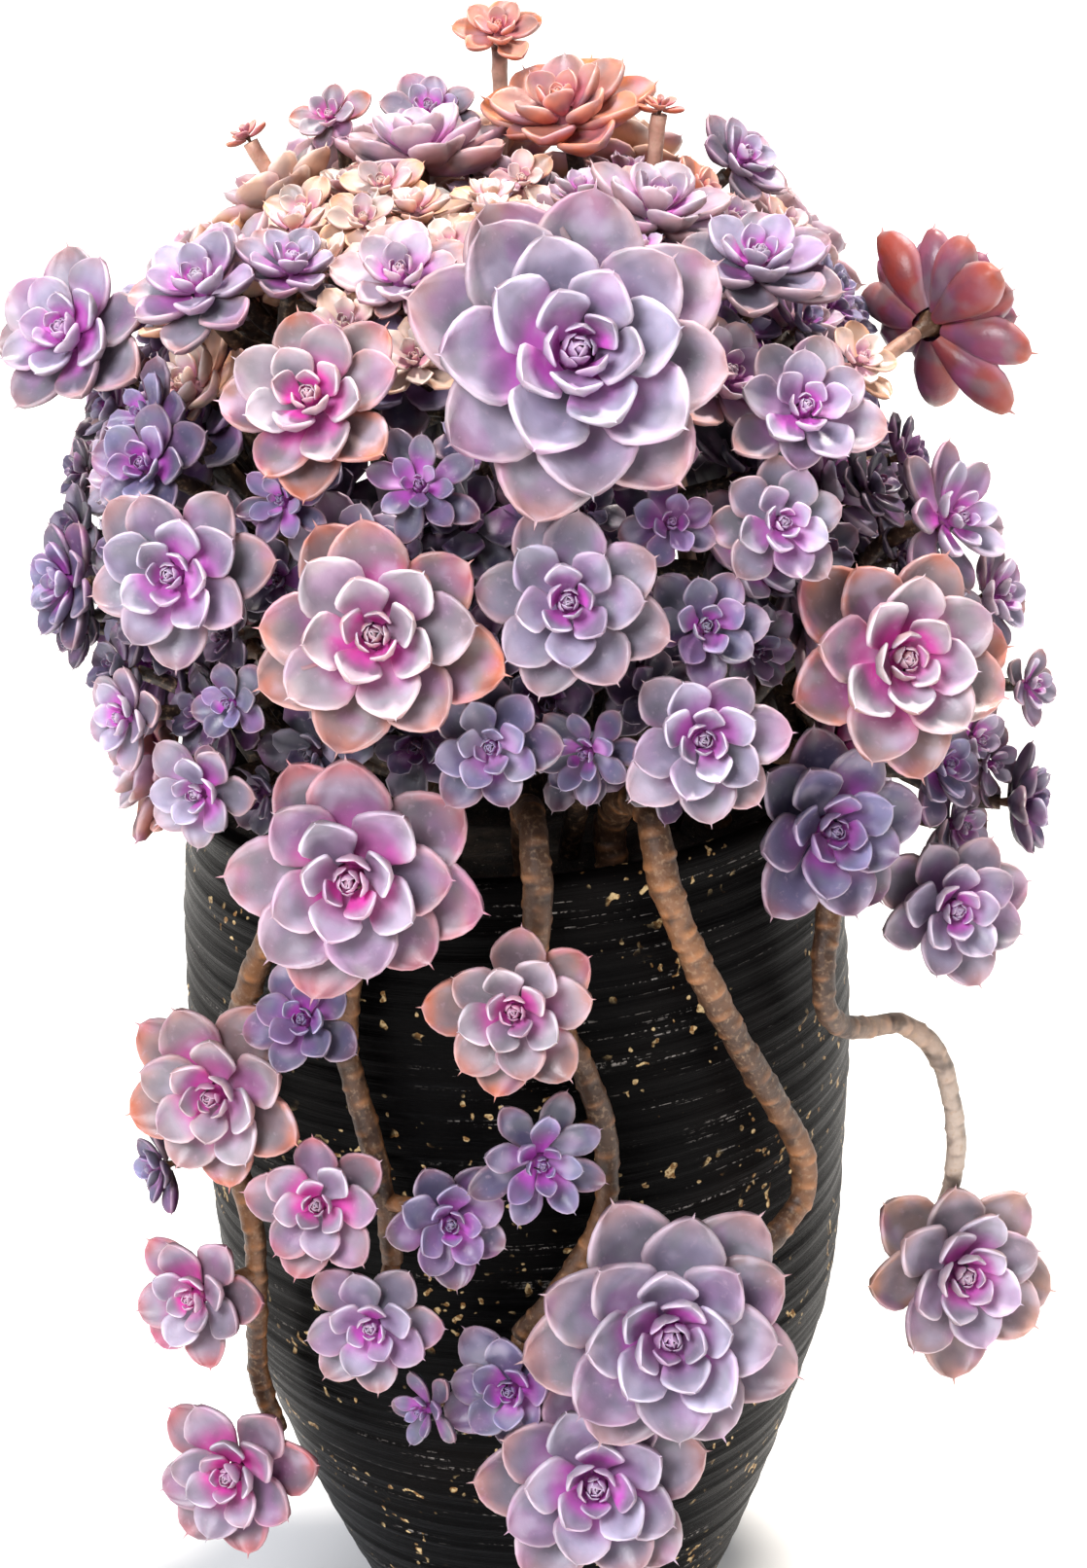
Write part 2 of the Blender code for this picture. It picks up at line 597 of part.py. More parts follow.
class Branch:
    """A stem that rises from the soil to a knot, and there sends an arm to each of its heads."""

    def __init__(self, name, spot, hole, heads):
        self.name = name
        self.spot = spot
        self.hole = hole
        self.heads = heads
        self.rosettes = [Rosette(head) for head in heads]
        self.way = None

    def knot(self, lean):
        """The trunk and the knot's open cube: the shell, the cube's free sides and their middles."""
        shell = Shell()
        post = trunk_post(self.hole, TRUNK_HALF, SOIL_TOP - HOLE_DEPTH, SOIL_TOP + TRUNK_UPRIGHT)
        trunk = (self.spot - Vector((self.hole.x, self.hole.y, SOIL_TOP * MM))).normalized()
        mean = sum((r.centre for r in self.rosettes), Vector()) / len(self.rosettes)
        axis = trunk.lerp((mean - self.spot).normalized(), lean).normalized()
        rings = [shell.add(ring) for ring in post]
        for side in (-1, 1):
            middle = self.spot + axis * side * KNOT_SIZE * MM
            rings.append(shell.add(square(middle, axis, KNOT_HALF, round_about(self.hole))))
        shell.base(rings[0])
        shell.bridge(rings[0], rings[1])
        shell.bridge(rings[1], rings[2])
        low, high = rings[2], rings[3]
        sides = [[low[k], low[(k + 1) % 4], high[(k + 1) % 4], high[k]] for k in range(4)] + [high]
        middles = [sum((shell.points[i] for i in side), Vector()) / 4 for side in sides]
        return shell, sides, middles

    def sharings(self, lean):
        """The best ways to share out the knot's sides to the arms, the straightest first."""
        _, _, middles = self.knot(lean)
        goals = [(rosette.centre - self.spot).normalized() for rosette in self.rosettes]
        outs = [(middle - self.spot).normalized() for middle in middles]

        def straightness(picks):
            return sum(goal.dot(outs[pick]) for goal, pick in zip(goals, picks))

        choices = permutations(range(len(middles)), len(self.rosettes))
        return sorted(choices, key=straightness, reverse=True)[:MOST_SHARINGS]

    def ways(self):
        """How far the knot leans to its heads, where each arm bends, and the sides they leave from."""
        return ((lean, elbow, picks) for elbow in ELBOWS for lean in KNOT_LEANS
                for picks in self.sharings(lean))

    def shell(self, way, part="leaves"):
        """The branch up to its necks, its bare heads or its leaves."""
        lean, elbow, picks = way
        shell, sides, middles = self.knot(lean)
        for pick, rosette in zip(picks, self.rosettes):
            lead = shell.points[sides[pick][0]] - middles[pick]
            start = sides[pick]
            neck = shell.add(rosette.neck(lead))
            goal = rosette.neck_centre()
            if elbow:
                out = (middles[pick] - self.spot).normalized()
                middle = middles[pick] + out * elbow * (goal - middles[pick]).length
                start = shell.add(square(middle, (goal - self.spot).normalized(), ARM_HALF, lead))
                shell.bridge(sides[pick], start)
            shell.bridge(start, neck)
            if part == "necks":
                shell.cap(neck)
            else:
                rosette.grow(shell, neck, leafless=part == "heads")
        for k, side in enumerate(sides):
            if k not in picks:
                shell.cap(side)
        return shell


class Hanging:
    """A head that grows from the side of a trailing stem, a hair's breadth off its bark."""

    def __init__(self, head):
        self.name = head.name
        self.head = head
        self.rosette = Rosette(head)
        self.way = None

    def ways(self):
        """The points of the stem's route to grow from, the nearest first, each with a turn."""
        route = stem_route(self.head.stem)
        goal = self.rosette.neck_centre()
        nearest = sorted(range(len(route)), key=lambda n: (route[n] - goal).length)
        for k in nearest[:MOST_FEET]:
            for turn in HANG_TURNS:
                yield k, turn

    def shell(self, way, part="leaves"):
        k, turn = way
        shell = Shell()
        route = stem_route(self.head.stem)
        _, thick, thin = STEMS[self.head.stem]
        neck_centre = self.rosette.neck_centre()
        along = (neck_centre - route[k]).normalized()
        radius = thick + (thin - thick) * k / (len(route) - 1)
        bark = (route[min(k + 1, len(route) - 1)] - route[max(k - 1, 0)]).normalized()
        slant = min(abs(along.dot(bark)), MOST_SLANT) if k < len(route) - 1 else 0
        away = (radius + HANG_GAP + ARM_HALF * slant) / math.sqrt(1 - slant ** 2)
        middle = route[k] + along * away * MM
        first, second, *_ = across(along)
        angle = math.radians(turn)
        ring = square(middle, along, ARM_HALF, first * math.cos(angle) + second * math.sin(angle))
        foot = shell.add(ring)
        neck = shell.add(self.rosette.neck(ring[0] - middle))
        shell.base(foot)
        shell.bridge(foot, neck)
        if part == "necks":
            shell.cap(neck)
        else:
            self.rosette.grow(shell, neck, leafless=part == "heads")
        return shell


def choose_ways(growths, obstacles):
    """Gives each growth the first way that is clear of itself and of all that stands already."""
    taken = [tree_and_box(shell) for shell in obstacles]
    for growth in growths:
        best = None
        for way in growth.ways():
            shell = growth.shell(way, "heads")
            clashes = shell.crosses_itself() + sum(touches(tree_and_box(shell), other) for other in taken)
            if best is None or clashes < best[0]:
                best = (clashes, way)
            if not clashes:
                break
        growth.way = best[1]
        taken.append(tree_and_box(growth.shell(best[1], "heads")))


def turned(profile, segments):
    """A closed solid turned round +Z: the profile runs from the axis below to the axis above."""
    shell = Shell()
    rings = []
    for reach, height in profile:
        rings.append(shell.add([place(360 * k / segments, reach, height) for k in range(segments)]))
    bottom, top = shell.add([Vector((0, 0, profile[0][1] * MM)), Vector((0, 0, profile[-1][1] * MM))])
    shell.fan(rings[0][::-1], bottom)
    for near, far in zip(rings, rings[1:]):
        for k in range(segments):
            n = (k + 1) % segments
            shell.faces.append((near[k], near[n], far[n], far[k]))
    shell.fan(rings[-1], top)
    return shell


def pot_shell():
    return turned(POT_OUTSIDE + POT_INSIDE, POT_SEGMENTS)


def soil_shell():
    wall = [(reach - SOIL_GAP, height) for reach, height in POT_INSIDE[:0:-1]]
    wall[0] = (wall[0][0], wall[0][1] + SOIL_GAP)
    return turned(wall + [(wall[-1][0] * 0.6, SOIL_TOP)], POT_SEGMENTS)


def stem_route(name):
    stops, _, _ = STEMS[name]
    azimuth = stops[0][0]
    over = [place(azimuth, reach, height) for reach, height in OVER_RIM]
    return smooth_route(over + [place(*stop) for stop in stops], STEM_STEP)


def stem_shell(name):
    _, start, end = STEMS[name]
    return tube(stem_route(name), start, end, STEM_SIDES)


def material(name):
    made = bpy.data.materials.get(name)
    if made is None:
        made = bpy.data.materials.new(name)
        made.use_nodes = True
        shader = made.node_tree.nodes["Principled BSDF"]
        shader.inputs["Base Color"].default_value = (*COLOURS[name], 1)
        shader.inputs["Roughness"].default_value = ROUGHNESS[name]
    return made


def make_object(name, shell, colour, smooth_angle=None):
    mesh = bpy.data.meshes.new(name)
    mesh.from_pydata([tuple(p) for p in shell.points], [], shell.faces)
    mesh.materials.append(material(colour))
    if smooth_angle:
        mesh.shade_smooth()
        mesh.set_sharp_from_angle(angle=math.radians(smooth_angle))
    made = bpy.data.objects.new(name, mesh)
    bpy.context.scene.collection.objects.link(made)
    return made


def cut(target, cutter_shells, name):
    """Cuts closed shells out of an object, which keeps the Boolean as a modifier."""
    joined = Shell()
    for shell in cutter_shells:
        shift = len(joined.points)
        joined.points.extend(shell.points)
        joined.faces.extend(tuple(i + shift for i in face) for face in shell.faces)
    cutter = make_object(name, joined, "clay")
    cutter.hide_render = True
    cutter.display_type = "WIRE"
    modifier = target.modifiers.new("holes", "BOOLEAN")
    modifier.operation = "DIFFERENCE"
    modifier.object = cutter


def rod(low, high, radius, sides):
    return tube([low, high], radius, radius, sides)


def choose_fits(heads, obstacles):
    """Bends or shortens each leaf until it is clear of every other head, stem and wall."""
    taken = [(owner, tree_and_box(shell)) for owner, shell in obstacles]
    rosettes = {head.name: Rosette(head) for head in heads}
    order = []
    for head in heads:
        for i in range(head.leaves):
            late = 1 - i / head.leaves
            if head.radius > LARGE_HEAD:
                late -= LARGE_FIRST
            order.append((late, -head.radius, head.name, i))
    for _, _, name, i in sorted(order):
        rosette = rosettes[name]
        for fit in FITS[rosette.round:]:
            guard = tree_and_box(rosette.leaf_guard(i, fit))
            if not any(owner != name and touches(guard, other) for owner, other in taken):
                rosette.head.fits[i] = fit
                taken.append((name, guard))
                break


def tree_and_box(shell):
    low = Vector([min(p[k] for p in shell.points) for k in range(3)])
    high = Vector([max(p[k] for p in shell.points) for k in range(3)])
    return shell.tree(), low, high


def touches(one, other):
    tree, low, high = one
    other_tree, other_low, other_high = other
    if any(low[k] > other_high[k] or other_low[k] > high[k] for k in range(3)):
        return False
    return bool(tree.overlap(other_tree))


def bare_head(head):
    """A head's core and neck alone, closed."""
    shell = Shell()
    rosette = Rosette(head)
    foot = shell.add(rosette.neck(None))
    shell.base(foot)
    rosette.grow(shell, foot, leafless=True)
    return shell


def plan():
    """Every branch and hanging head, with room made for every arm and leaf."""
    heads = DOME_HEADS + fill_heads(DOME_HEADS + TRAILING_HEADS)
    for head in heads + TRAILING_HEADS:
        head.leaves = leaf_count(head.radius)
    spots = knots()
    groups = share_out(heads, spots)
    branches = [Branch(name, spot, hole, groups[name]) for name, spot, hole in spots if groups[name]]
    hangings = [Hanging(head) for head in TRAILING_HEADS]
    standing = [("pot", pot_shell())] + [(name, stem_shell(name)) for name in STEMS]
    choose_ways(hangings + branches, [shell for _, shell in standing])
    standing.append(("soil", soil_shell()))
    standing += [(growth.name, growth.shell(growth.way, "necks")) for growth in hangings + branches]
    standing += [(head.name, bare_head(head)) for head in heads + TRAILING_HEADS]
    choose_fits(heads + TRAILING_HEADS, standing)
    return branches, hangings


def main():
    for item in list(bpy.data.objects):
        bpy.data.objects.remove(item, do_unlink=True)
    branches, hangings = plan()
    pot = make_object("pot", pot_shell(), "clay", SMOOTH_ANGLE)
    drains = [place(360 * k / DRAIN_COUNT, DRAIN_REACH, 0) for k in range(DRAIN_COUNT)]
    floor = POT_INSIDE[-1][1]
    cut(pot, [rod(p - UP * 0.01, p + UP * (floor + 1) * MM, DRAIN_RADIUS, DRAIN_SIDES) for p in drains],
        "drain_holes")
    soil = make_object("soil", soil_shell(), "soil", SMOOTH_ANGLE)
    holes = []
    for branch in branches:
        make_object(branch.name, branch.shell(branch.way), branch.heads[0].tint)
        holes.append(hole_post(branch.hole))
    for name, (_, thick, _) in STEMS.items():
        make_object(f"stem_{name}", stem_shell(name), "bark", STEM_SMOOTH_ANGLE)
        foot = stem_route(name)[0]
        holes.append(rod(foot - UP * HOLE_GAP * MM, foot + UP * 0.05, thick + HOLE_GAP * 2, STEM_SIDES))
    cut(soil, holes, "soil_holes")
    for hanging in hangings:
        make_object(f"head_{hanging.name}", hanging.shell(hanging.way), hanging.head.tint)


main()
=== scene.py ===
"""The looks of the potted graptopetalum: fine rosettes on woody stems, the turned urn and its soil.
Metres, +Z up. The plant's layout repeats the part's own tables and rules, in millimetres."""

import math
import random
from collections import namedtuple

import bpy
import numpy as np
from mathutils import Matrix, Vector
from mathutils.bvhtree import BVHTree


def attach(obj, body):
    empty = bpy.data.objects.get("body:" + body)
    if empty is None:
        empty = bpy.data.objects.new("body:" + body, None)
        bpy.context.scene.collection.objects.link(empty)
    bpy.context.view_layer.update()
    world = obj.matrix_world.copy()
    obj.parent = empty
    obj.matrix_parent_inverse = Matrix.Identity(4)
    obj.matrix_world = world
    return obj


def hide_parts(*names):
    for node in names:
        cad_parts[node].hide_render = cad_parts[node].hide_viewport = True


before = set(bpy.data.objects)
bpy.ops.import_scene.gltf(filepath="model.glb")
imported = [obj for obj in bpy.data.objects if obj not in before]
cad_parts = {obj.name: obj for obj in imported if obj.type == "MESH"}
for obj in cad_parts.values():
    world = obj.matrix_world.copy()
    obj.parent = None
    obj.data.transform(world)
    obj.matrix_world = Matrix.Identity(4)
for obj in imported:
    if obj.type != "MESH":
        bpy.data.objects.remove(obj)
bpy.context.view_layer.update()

MM = 0.001
UP = Vector((0, 0, 1))
GOLDEN = 137.508
NEARLY_UP = 0.95

# The camera: the photograph's frame in pixels, the distance, tilt and roll that fit the urn.
FRAME_HEIGHT = 1612
FOCAL_PIXELS = 3853
SENSOR = 36
CAMERA_DISTANCE = 1.70
CAMERA_TILT = 22
CAMERA_ROLL = 2.8
CAMERA_TARGET = Vector((0.016, 0, 0.454))

# The light: a white floor, a pale sky, a soft sun from above and a large lamp in front.
FLOOR_SIZE = 9
FLOOR_TONE = (0.88, 0.88, 0.88)
SKY_TONE = (0.92, 0.95, 1.0)
SKY_STRENGTH = 0.38
SUN_STRENGTH = 5.5
SUN_SOFTNESS = 10
SUN_FROM = Vector((0.15, 0.16, 1.0))
SUN_TONE = (1.0, 0.94, 0.86)
LAMP_AT = Vector((-0.8, -1.7, 1.9))
LAMP_AIM = Vector((0, 0, 0.5))
LAMP_SIZE = 1.1
LAMP_POWER = 62
LAMP_TONE = (0.94, 0.95, 1.0)

# The urn: radius and height of its outer profile from the base up, in millimetres. The last two
# points are the rim, which is drawn finer, with the inner wall and the floor, by the next ones.
POT_OUTSIDE = [
    (66, 0), (86, 48), (102, 86), (118, 128), (132, 170), (142, 205), (147, 240), (151, 300),
    (153, 350), (150, 420), (145, 455), (145, 466), (141, 470),
]
POT_RIM = [(145, 457), (146, 462), (145.5, 467), (143, 469.6), (140, 469.6), (137.5, 467), (136, 462)]
POT_INSIDE = [(136, 455), (138, 430), (140, 405), (100, 403), (20, 402)]
POT_FLOOR = [(0.5, 0), (40, 0), (63, 0)]
POT_SIDES = 144
WALL_STEP = 4
POT_WOBBLE = 0.25
# Throwing rings: the wall's step, how far it stands in, and each wave's height, length and start.
THROW_STEP = 1.9
THROW_INSET = 0.6
THROW_RINGS = [(0.30, 1.9, 0), (0.22, 3.1, 1), (0.30, 0.83, 0)]
THROW_FROM = 40
# A hand-made wobble: each wave's share, how often it goes round, and how it leans with height.
WOBBLES = [(1.0, 3, 0.05), (0.6, 7, -0.11)]
SOIL_TOP = 458
SOIL_EDGE = 135
SOIL_STEP = 3
SOIL_SIDES = 60
SOIL_WOBBLE = 0.4
SOIL_WAVE = (1.5, 0.21)


# A rosette: where its middle is, which way it faces, its size in millimetres, its tint and its stem.
Head = namedtuple("Head", "name azimuth reach height turn tilt radius tint stem", defaults=[""])


def table(text):
    """The rows of a table in plain text, as words and numbers."""
    return [[float(word) if word[-1].isdigit() else word for word in line.split()]
            for line in text.strip().splitlines()]


# Heads seen from the front: azimuth from the front, reach from the axis, height, the azimuth and
# elevation each one faces, radius and tint.
DOME_HEADS = [Head(*row) for row in table("""
crown 11 188 704 6 26 62 lilac
olive -21 183 687 -14 38 37 peach
left_shoulder -77 177 684 -35 35 37 lilac
left_pink -49 148 715 -30 60 32 lilac
left_fan -40 118 720 30 70 26 lilac
right_white 54 140 709 20 66 34 lilac
right_mid 40 195 667 12 38 31 lilac
brown_small 64 172 666 40 45 18 peach
dark_a -8 186 655 -8 30 23 slate
dark_b -48 184 650 -30 30 27 slate
purple -36 212 620 -15 18 36 lilac
left_edge -63 200 592 -60 15 26 slate
dark_c -26 184 646 -20 25 20 slate
pink_big -12 218 605 -4 22 46 peach
grey_mid 8 208 612 0 22 37 lilac
dark_d 22 188 632 10 25 19 slate
slate_mid 24 202 592 10 22 24 slate
purple_right 34 204 628 14 22 27 lilac
lilac_right 63 212 602 45 20 32 lilac
orange_big 47 221 562 18 18 46 peach
edge_right_a 73 222 556 62 14 24 lilac
edge_right_b 80 234 506 50 10 18 lilac
grey_low -1 211 556 -5 18 26 slate
slate_low 10 196 545 -20 8 22 slate
pink_heart 21 220 553 5 15 33 lilac
small_left -31 207 567 -25 15 17 slate
lilac_left -46 211 552 -50 10 22 lilac
left_low -37 204 524 -25 8 25 lilac
big_low -17 212 501 -5 10 49 rose
fan_low 40 204 492 20 10 39 slate
dark_right 64 206 490 50 20 24 slate
side_right 79 232 452 80 0 26 slate
right_low 62 213 428 20 10 35 lilac
top_left_a -138 95 747 -20 45 18 peach
top_left_b -167 92 743 0 55 22 lilac
top_peach 141 62 748 -40 70 40 peach
top_beige 100 20 730 0 45 16 peach
top_lilac 121 136 719 55 42 24 lilac
beige_a -88 40 731 -10 60 20 peach
beige_b -88 74 722 -20 55 19 peach
beige_c -50 62 726 0 55 18 peach
orange_right 102 98 716 75 35 20 peach
pale_right 104 138 697 70 50 17 peach
right_back 98 203 655 132 14 45 rose
top_bud 172 88 778 0 62 20 peach
stem_left -113 108 748 -100 65 10 peach
stem_right 116 90 752 60 80 10 peach
""")]

# Heads on the stems that trail down the urn.
TRAILING_HEADS = [Head(*row) for row in table("""
centre 0 193 434 -4 15 34 peach centre
blue 2 190 362 10 10 29 slate centre
under_dark -3 178 246 -20 20 30 slate centre
cluster_dark -28 187 420 -15 30 25 slate left
cluster_orange -40 198 382 -20 10 40 peach far_left
cluster_rose -27 192 337 -10 20 30 rose left
cluster_side -10 189 334 10 12 27 slate left
cluster_low -21 190 281 -8 15 30 lilac left
cluster_back -60 188 318 -66 0 19 slate far_left
left_rose -47 199 276 -30 12 31 rose far_left
bottom_left -51 178 171 -25 10 38 rose far_left
bottom_big 16 206 284 5 12 54 lilac long
bottom_mid 7 194 208 0 15 47 lilac long
right_hang 73 204 226 20 12 45 lilac loop
back_a 128 196 372 128 14 34 lilac back_right
back_b 138 190 286 139 14 28 rose back_right
back_c 158 198 396 158 14 38 peach back
back_d 168 197 300 168 12 30 lilac back
back_e 152 180 214 150 12 26 slate back
back_f -148 197 372 -148 14 36 lilac back_left
back_g -140 190 280 -138 12 28 slate back_left
""")]

# The way each trailing stem takes out of the soil and over the rim: reach and height.
OVER_RIM = [(111, 434), (111, 456), (112, 476), (130, 495), (153, 494)]

# The trailing stems' routes down the urn: azimuth, reach and height, and radii.
STEMS = {
    "long": ([(23, 163, 470), (26, 165, 441), (30, 167, 412), (35, 168, 381), (41, 168, 350),
        (46, 168, 322), (46, 168, 300), (40, 168, 288), (30, 170, 276), (18, 168, 262), (10, 162, 240),
        (7, 164, 222)], 7.5, 4.5),
    "loop": ([(55, 163, 470), (56, 165, 430), (53, 167, 400), (54, 168, 378), (61, 171, 364),
        (68, 184, 358), (72, 197, 338), (74, 203, 305), (75, 203, 280), (77, 198, 255),
        (79, 190, 238)], 6.5, 4.0),
    "centre": ([(4, 163, 468), (3, 164, 440), (4, 165, 420), (9, 166, 393), (12, 167, 356), (11, 166, 318),
        (4, 164, 285), (-2, 160, 262)], 7.0, 4.5),
    "left": ([(-23, 162, 470), (-25, 165, 430), (-26, 166, 400), (-24, 167, 372), (-22, 167, 345),
        (-21, 166, 315), (-21, 165, 298)], 7.0, 4.5),
    "far_left": ([(-34, 162, 470), (-43, 165, 420), (-50, 167, 370), (-50, 167, 330), (-47, 166, 295),
        (-49, 164, 250), (-53, 158, 210), (-52, 152, 180)], 6.5, 4.5),
    "back_right": ([(124, 162, 468), (126, 165, 420), (132, 167, 370), (135, 167, 325),
        (138, 165, 292)], 6.5, 4.5),
    "back": ([(160, 162, 468), (161, 165, 420), (163, 167, 370), (166, 167, 315), (162, 164, 270),
        (155, 157, 228)], 7.0, 4.5),
    "back_left": ([(-151, 162, 468), (-150, 165, 420), (-146, 167, 370), (-142, 167, 325),
        (-140, 165, 288)], 6.5, 4.5),
}

# The dome's profile, reach and height, where the heads that the photograph hides are set by rule.
# Each zone reaches to an azimuth and has its lowest height, its largest radius and a share of the
# profile's reach: in front and at the sides they sit inside the heads that the photograph shows.
DOME = [(0, 735), (60, 736), (115, 722), (158, 695), (188, 650), (203, 595), (205, 540),
        (200, 490), (190, 450)]
TILT_SHARE = 0.8
LEAST_TILT = 12
MOST_TILT = 85
FILL_SEED = 11
FILL_RADII = [43, 40, 37, 34, 30, 26, 22, 18]
FILL_TRIES = 900
FILL_SPACING = 0.74
FILL_LIMIT = 52
FILL_ZONES = [(55, 590, 30, 0.86), (125, 490, 37, 0.80), (180, 440, 43, 1.0)]
FILL_LOWER = 0.75
FILL_TURN = 12
FILL_TINTS = ["lilac", "peach", "slate", "lilac", "rose"]

# Stems inside the dome branch at a knot: how many stand in each ring, the azimuth of its first,
# reach and height, and the reach of its hole in the soil.
KNOT_RINGS = [(1, 0, 0, 655, 0), (5, 20, 66, 660, 32), (6, 10, 112, 600, 62), (12, 15, 126, 508, 95)]
MOST_ARMS = 5
ARM_SPREAD = 30
DETOUR = 1.6

# Small shaded rosettes under the heads, which close the gaps between them. Each layer has its share
# of the profile's reach, its smallest and largest radius, how many, and how far apart they stand.
SHADED_SEED = 5
SHADED_TRIES = 1600
SHADED_LAYERS = [(0.92, 18, 22, 76, 0.85), (0.80, 30, 34, 60, 0.64)]
SHADED_LOWEST = 550
SHADED_DROP = 110
SHADED_TURN = 25
SHADED_TILT = 15
BEHIND = 0.3
BEHIND_RADIUS = 0.40
# Heads listed one by one, as in the tables: at the right edge, and dark ones behind gaps at the front.
EDGE_HEADS = [(77, 210, 484, 46, 10, 22), (71, 206, 530, 40, 14, 22), (74, 204, 448, 50, 6, 22),
              (65, 205, 562, 32, 18, 22), (79, 217, 470, 42, 8, 18)]
# Most heads behind the gaps get the near-black shaded palette, which is painted shade.
GAP_HEADS = [(-10, 150, 631, -12, 25, 25), (-27, 168, 534, -30, 5, 25), (-12, 166, 540, -10, 0, 25),
             (1, 168, 545, 6, 4, 24), (10, 166, 530, 12, 0, 22), (-43, 172, 540, -45, 5, 25),
             (24, 172, 520, 26, 0, 23), (-36, 170, 512, -34, -6, 22), (-55, 168, 663, -50, 30, 24),
             (-27, 150, 650, -28, 28, 24)]

# A small narrow-leaved sprig on the urn's front, beside one of the trailing heads.
SPRIG = Head("sprig", -15, 184, 238, -45, 5, 19, "slate")
SPRIG_BESIDE = "under_dark"

# How many leaves a head has, up to each radius, and how many small ones close its bud.
LEAF_COUNTS = [(13, 10), (19, 13), (25, 16), (32, 18), (43, 21), (50, 24), (99, 29)]
BUD_LEAVES = 7
SHADED_LEAVES = 14
SHADED_BUDS = 3
BACK_LEAVES = 34
NARROW_HEADS = ("blue", "lilac_right", "slate_low", "dark_a", "dark_c", "right_back", "sprig")
NARROW = 0.74

# How a head's core and leaves are set out, as shares of its radius, with angles in degrees.
CORE_RADIUS = 0.15
CORE_HEIGHT = 0.36
CORE_SUNK = 0.16
CORE_SIDES = 8
NECK = 0.22
CORE_STOPS = [(-NECK, 0.07), (-0.10, 0.09), (0.0, 0.15), (0.12, 0.13), (CORE_HEIGHT, 0.05)]
CORE_BARK = 1.6
CORE_HEART = 0.5
REACH = 1.12
INNER_SHORTER = 0.76
SHORTER_CURVE = 1.5
GATHER = 0.35
OUTER_RISE = 9
INNER_RISE = 92
RISE_CURVE = 1.9
BUD_RISE = (84, 8)
BUD_RADIUS = (0.085, 0.9)
BUD_HEIGHT = (0.94, 0.12)
BUD_LENGTH = (0.155, 0.03)
# How far chance moves a leaf: its turn and lift in degrees, and shares of its length or width.
TURN_CHANCE = 7
LIFT_CHANCE = 2.5
LENGTH_CHANCE = 0.06
LEAN_CHANCE = 0.06
ROLL_CHANCE = 0.10

# A leaf, as shares of its length.
WIDEST_AT = 0.64
HALF_WIDTH = 0.37
INNER_WIDER = 0.28
BASE_WIDTH = 0.30
BASE_CURVE = 1.35
TIP_CURVE = 2.2
TIP_SHARES = (0.72, 0.25, 0.03)
LEAF_DEPTH = 0.20
DEPTH_TAPER = (1.05, 0.42)
DEPTH_CURVE = 0.45
THICK_AT = 0.6
LEAF_CUP = 0.42
CUP_ASIDE = 0.9
CUP_CURVE = (2.3, 0.8)
CUP_FLATTER = (0.6, 1.0)
CUP_ROOT = 0.5
TIP_POINT = 0.085
TIP_CURL = 34
CURL_FROM = 0.25
FULL_CURL_RISE = 60
MOST_SLOPE = 140
SPINE_PARTS = 40
TIP_DOWN = 0.1
# What a leaf may do to stay clear of others: a share of its length, and degrees down, which only
# the outermost leaves may bend.
FITS = [(1.0, 0), (1.0, -10), (0.9, 0), (0.9, -14), (0.8, 0), (0.8, -18), (0.7, 0), (0.6, 0),
        (0.5, 0), (0.42, 0), (0.35, 0)]
OUTER_TURN = 8
BIG_HEAD = 34
BIG_HEAD_FIRST = 0.3
WALL_GAP = 1
FAR = 9.0
# A leaf's rough hull: how far along each ring stands, half its width, and its depth.
GUARD_RINGS = [(0.12, 0.2, 0.1), (0.62, 0.4, 0.13), (0.9, 0.26, 0.08)]
GUARD_TOP = 0.01
GUARD_SIDES = 4
STEM_GUARD = (14, 6)
FINE_RINGS = (0, 0.2, 0.4, 0.56, 0.69, 0.80, 0.89, 0.955, 1.0)
PLAIN_RINGS = (0, 0.3, 0.56, 0.78, 0.93, 1.0)
SHADED_RINGS = (0, 0.35, 0.66, 0.9, 1.0)
# Points round a leaf's section: how far each is to the side, then how far down the thickness.
FINE_ROUND = table("""
-.97 -.88 -.62 -.3 .3 .62 .88 .97 1 .8 .36 -.36 -.8 -1
.1 .01 0 0 0 0 .01 .1 .34 .76 .97 .97 .76 .34
""")
PLAIN_ROUND = table("""
-.93 -.62 0 .62 .93 1 .66 0 -.66 -1
.06 0 0 0 .06 .34 .86 1 .86 .34
""")
SHADED_ROUND = table("""
-.9 -.4 .4 .9 1 .5 -.5 -1
.06 0 0 .06 .4 .92 .92 .4
""")
# Heads that get the fine pattern: in front or high up, and not too small.
FRONT_AZIMUTH = 100
HIGH_UP = 700
FINE_RADIUS = 15

# Bark and its worn bumps, whose paler tone is partly a painted highlight; the pale bark of young
# shoots above the dome; the end of the loop.
BARK = ((0.060, 0.026, 0.012), (0.36, 0.150, 0.055))
PALE_BARK = ((0.42, 0.20, 0.14), (0.66, 0.40, 0.30))
YOUNG_HEADS = ("stem_left", "stem_right", "top_bud", "right_back")
FADED = (0.50, 0.40, 0.33)
FADE_ALONG = (0.45, 0.85)
LOOP_FADE = 0.85
# Stalks: step, sides, the radius at the foot and at the neck, what each millimetre of the head's
# radius adds at the neck, shade (dark inside the dome), and bark.
STALKS = {
    "trunk": (5, 8, 5.5, 4.6, 0, 0.2, BARK),
    "arm": (4, 8, 4.2, 2.6, 0.03, 0.2, BARK),
    "shaded": (9, 5, 4.2, 2.6, 0.03, 0.2, BARK),
    "young": (4, 10, 4.6, 3.4, 0, 1.0, PALE_BARK),
    "hanging": (3, 8, 3.8, 2.6, 0.03, 1.0, BARK),
    "twig": (3, 8, 2.6, 2.0, 0, 1.0, BARK),
}
STEM_STEP = 1.6
STEM_SIDES = 14
FOOT_STEP = 6
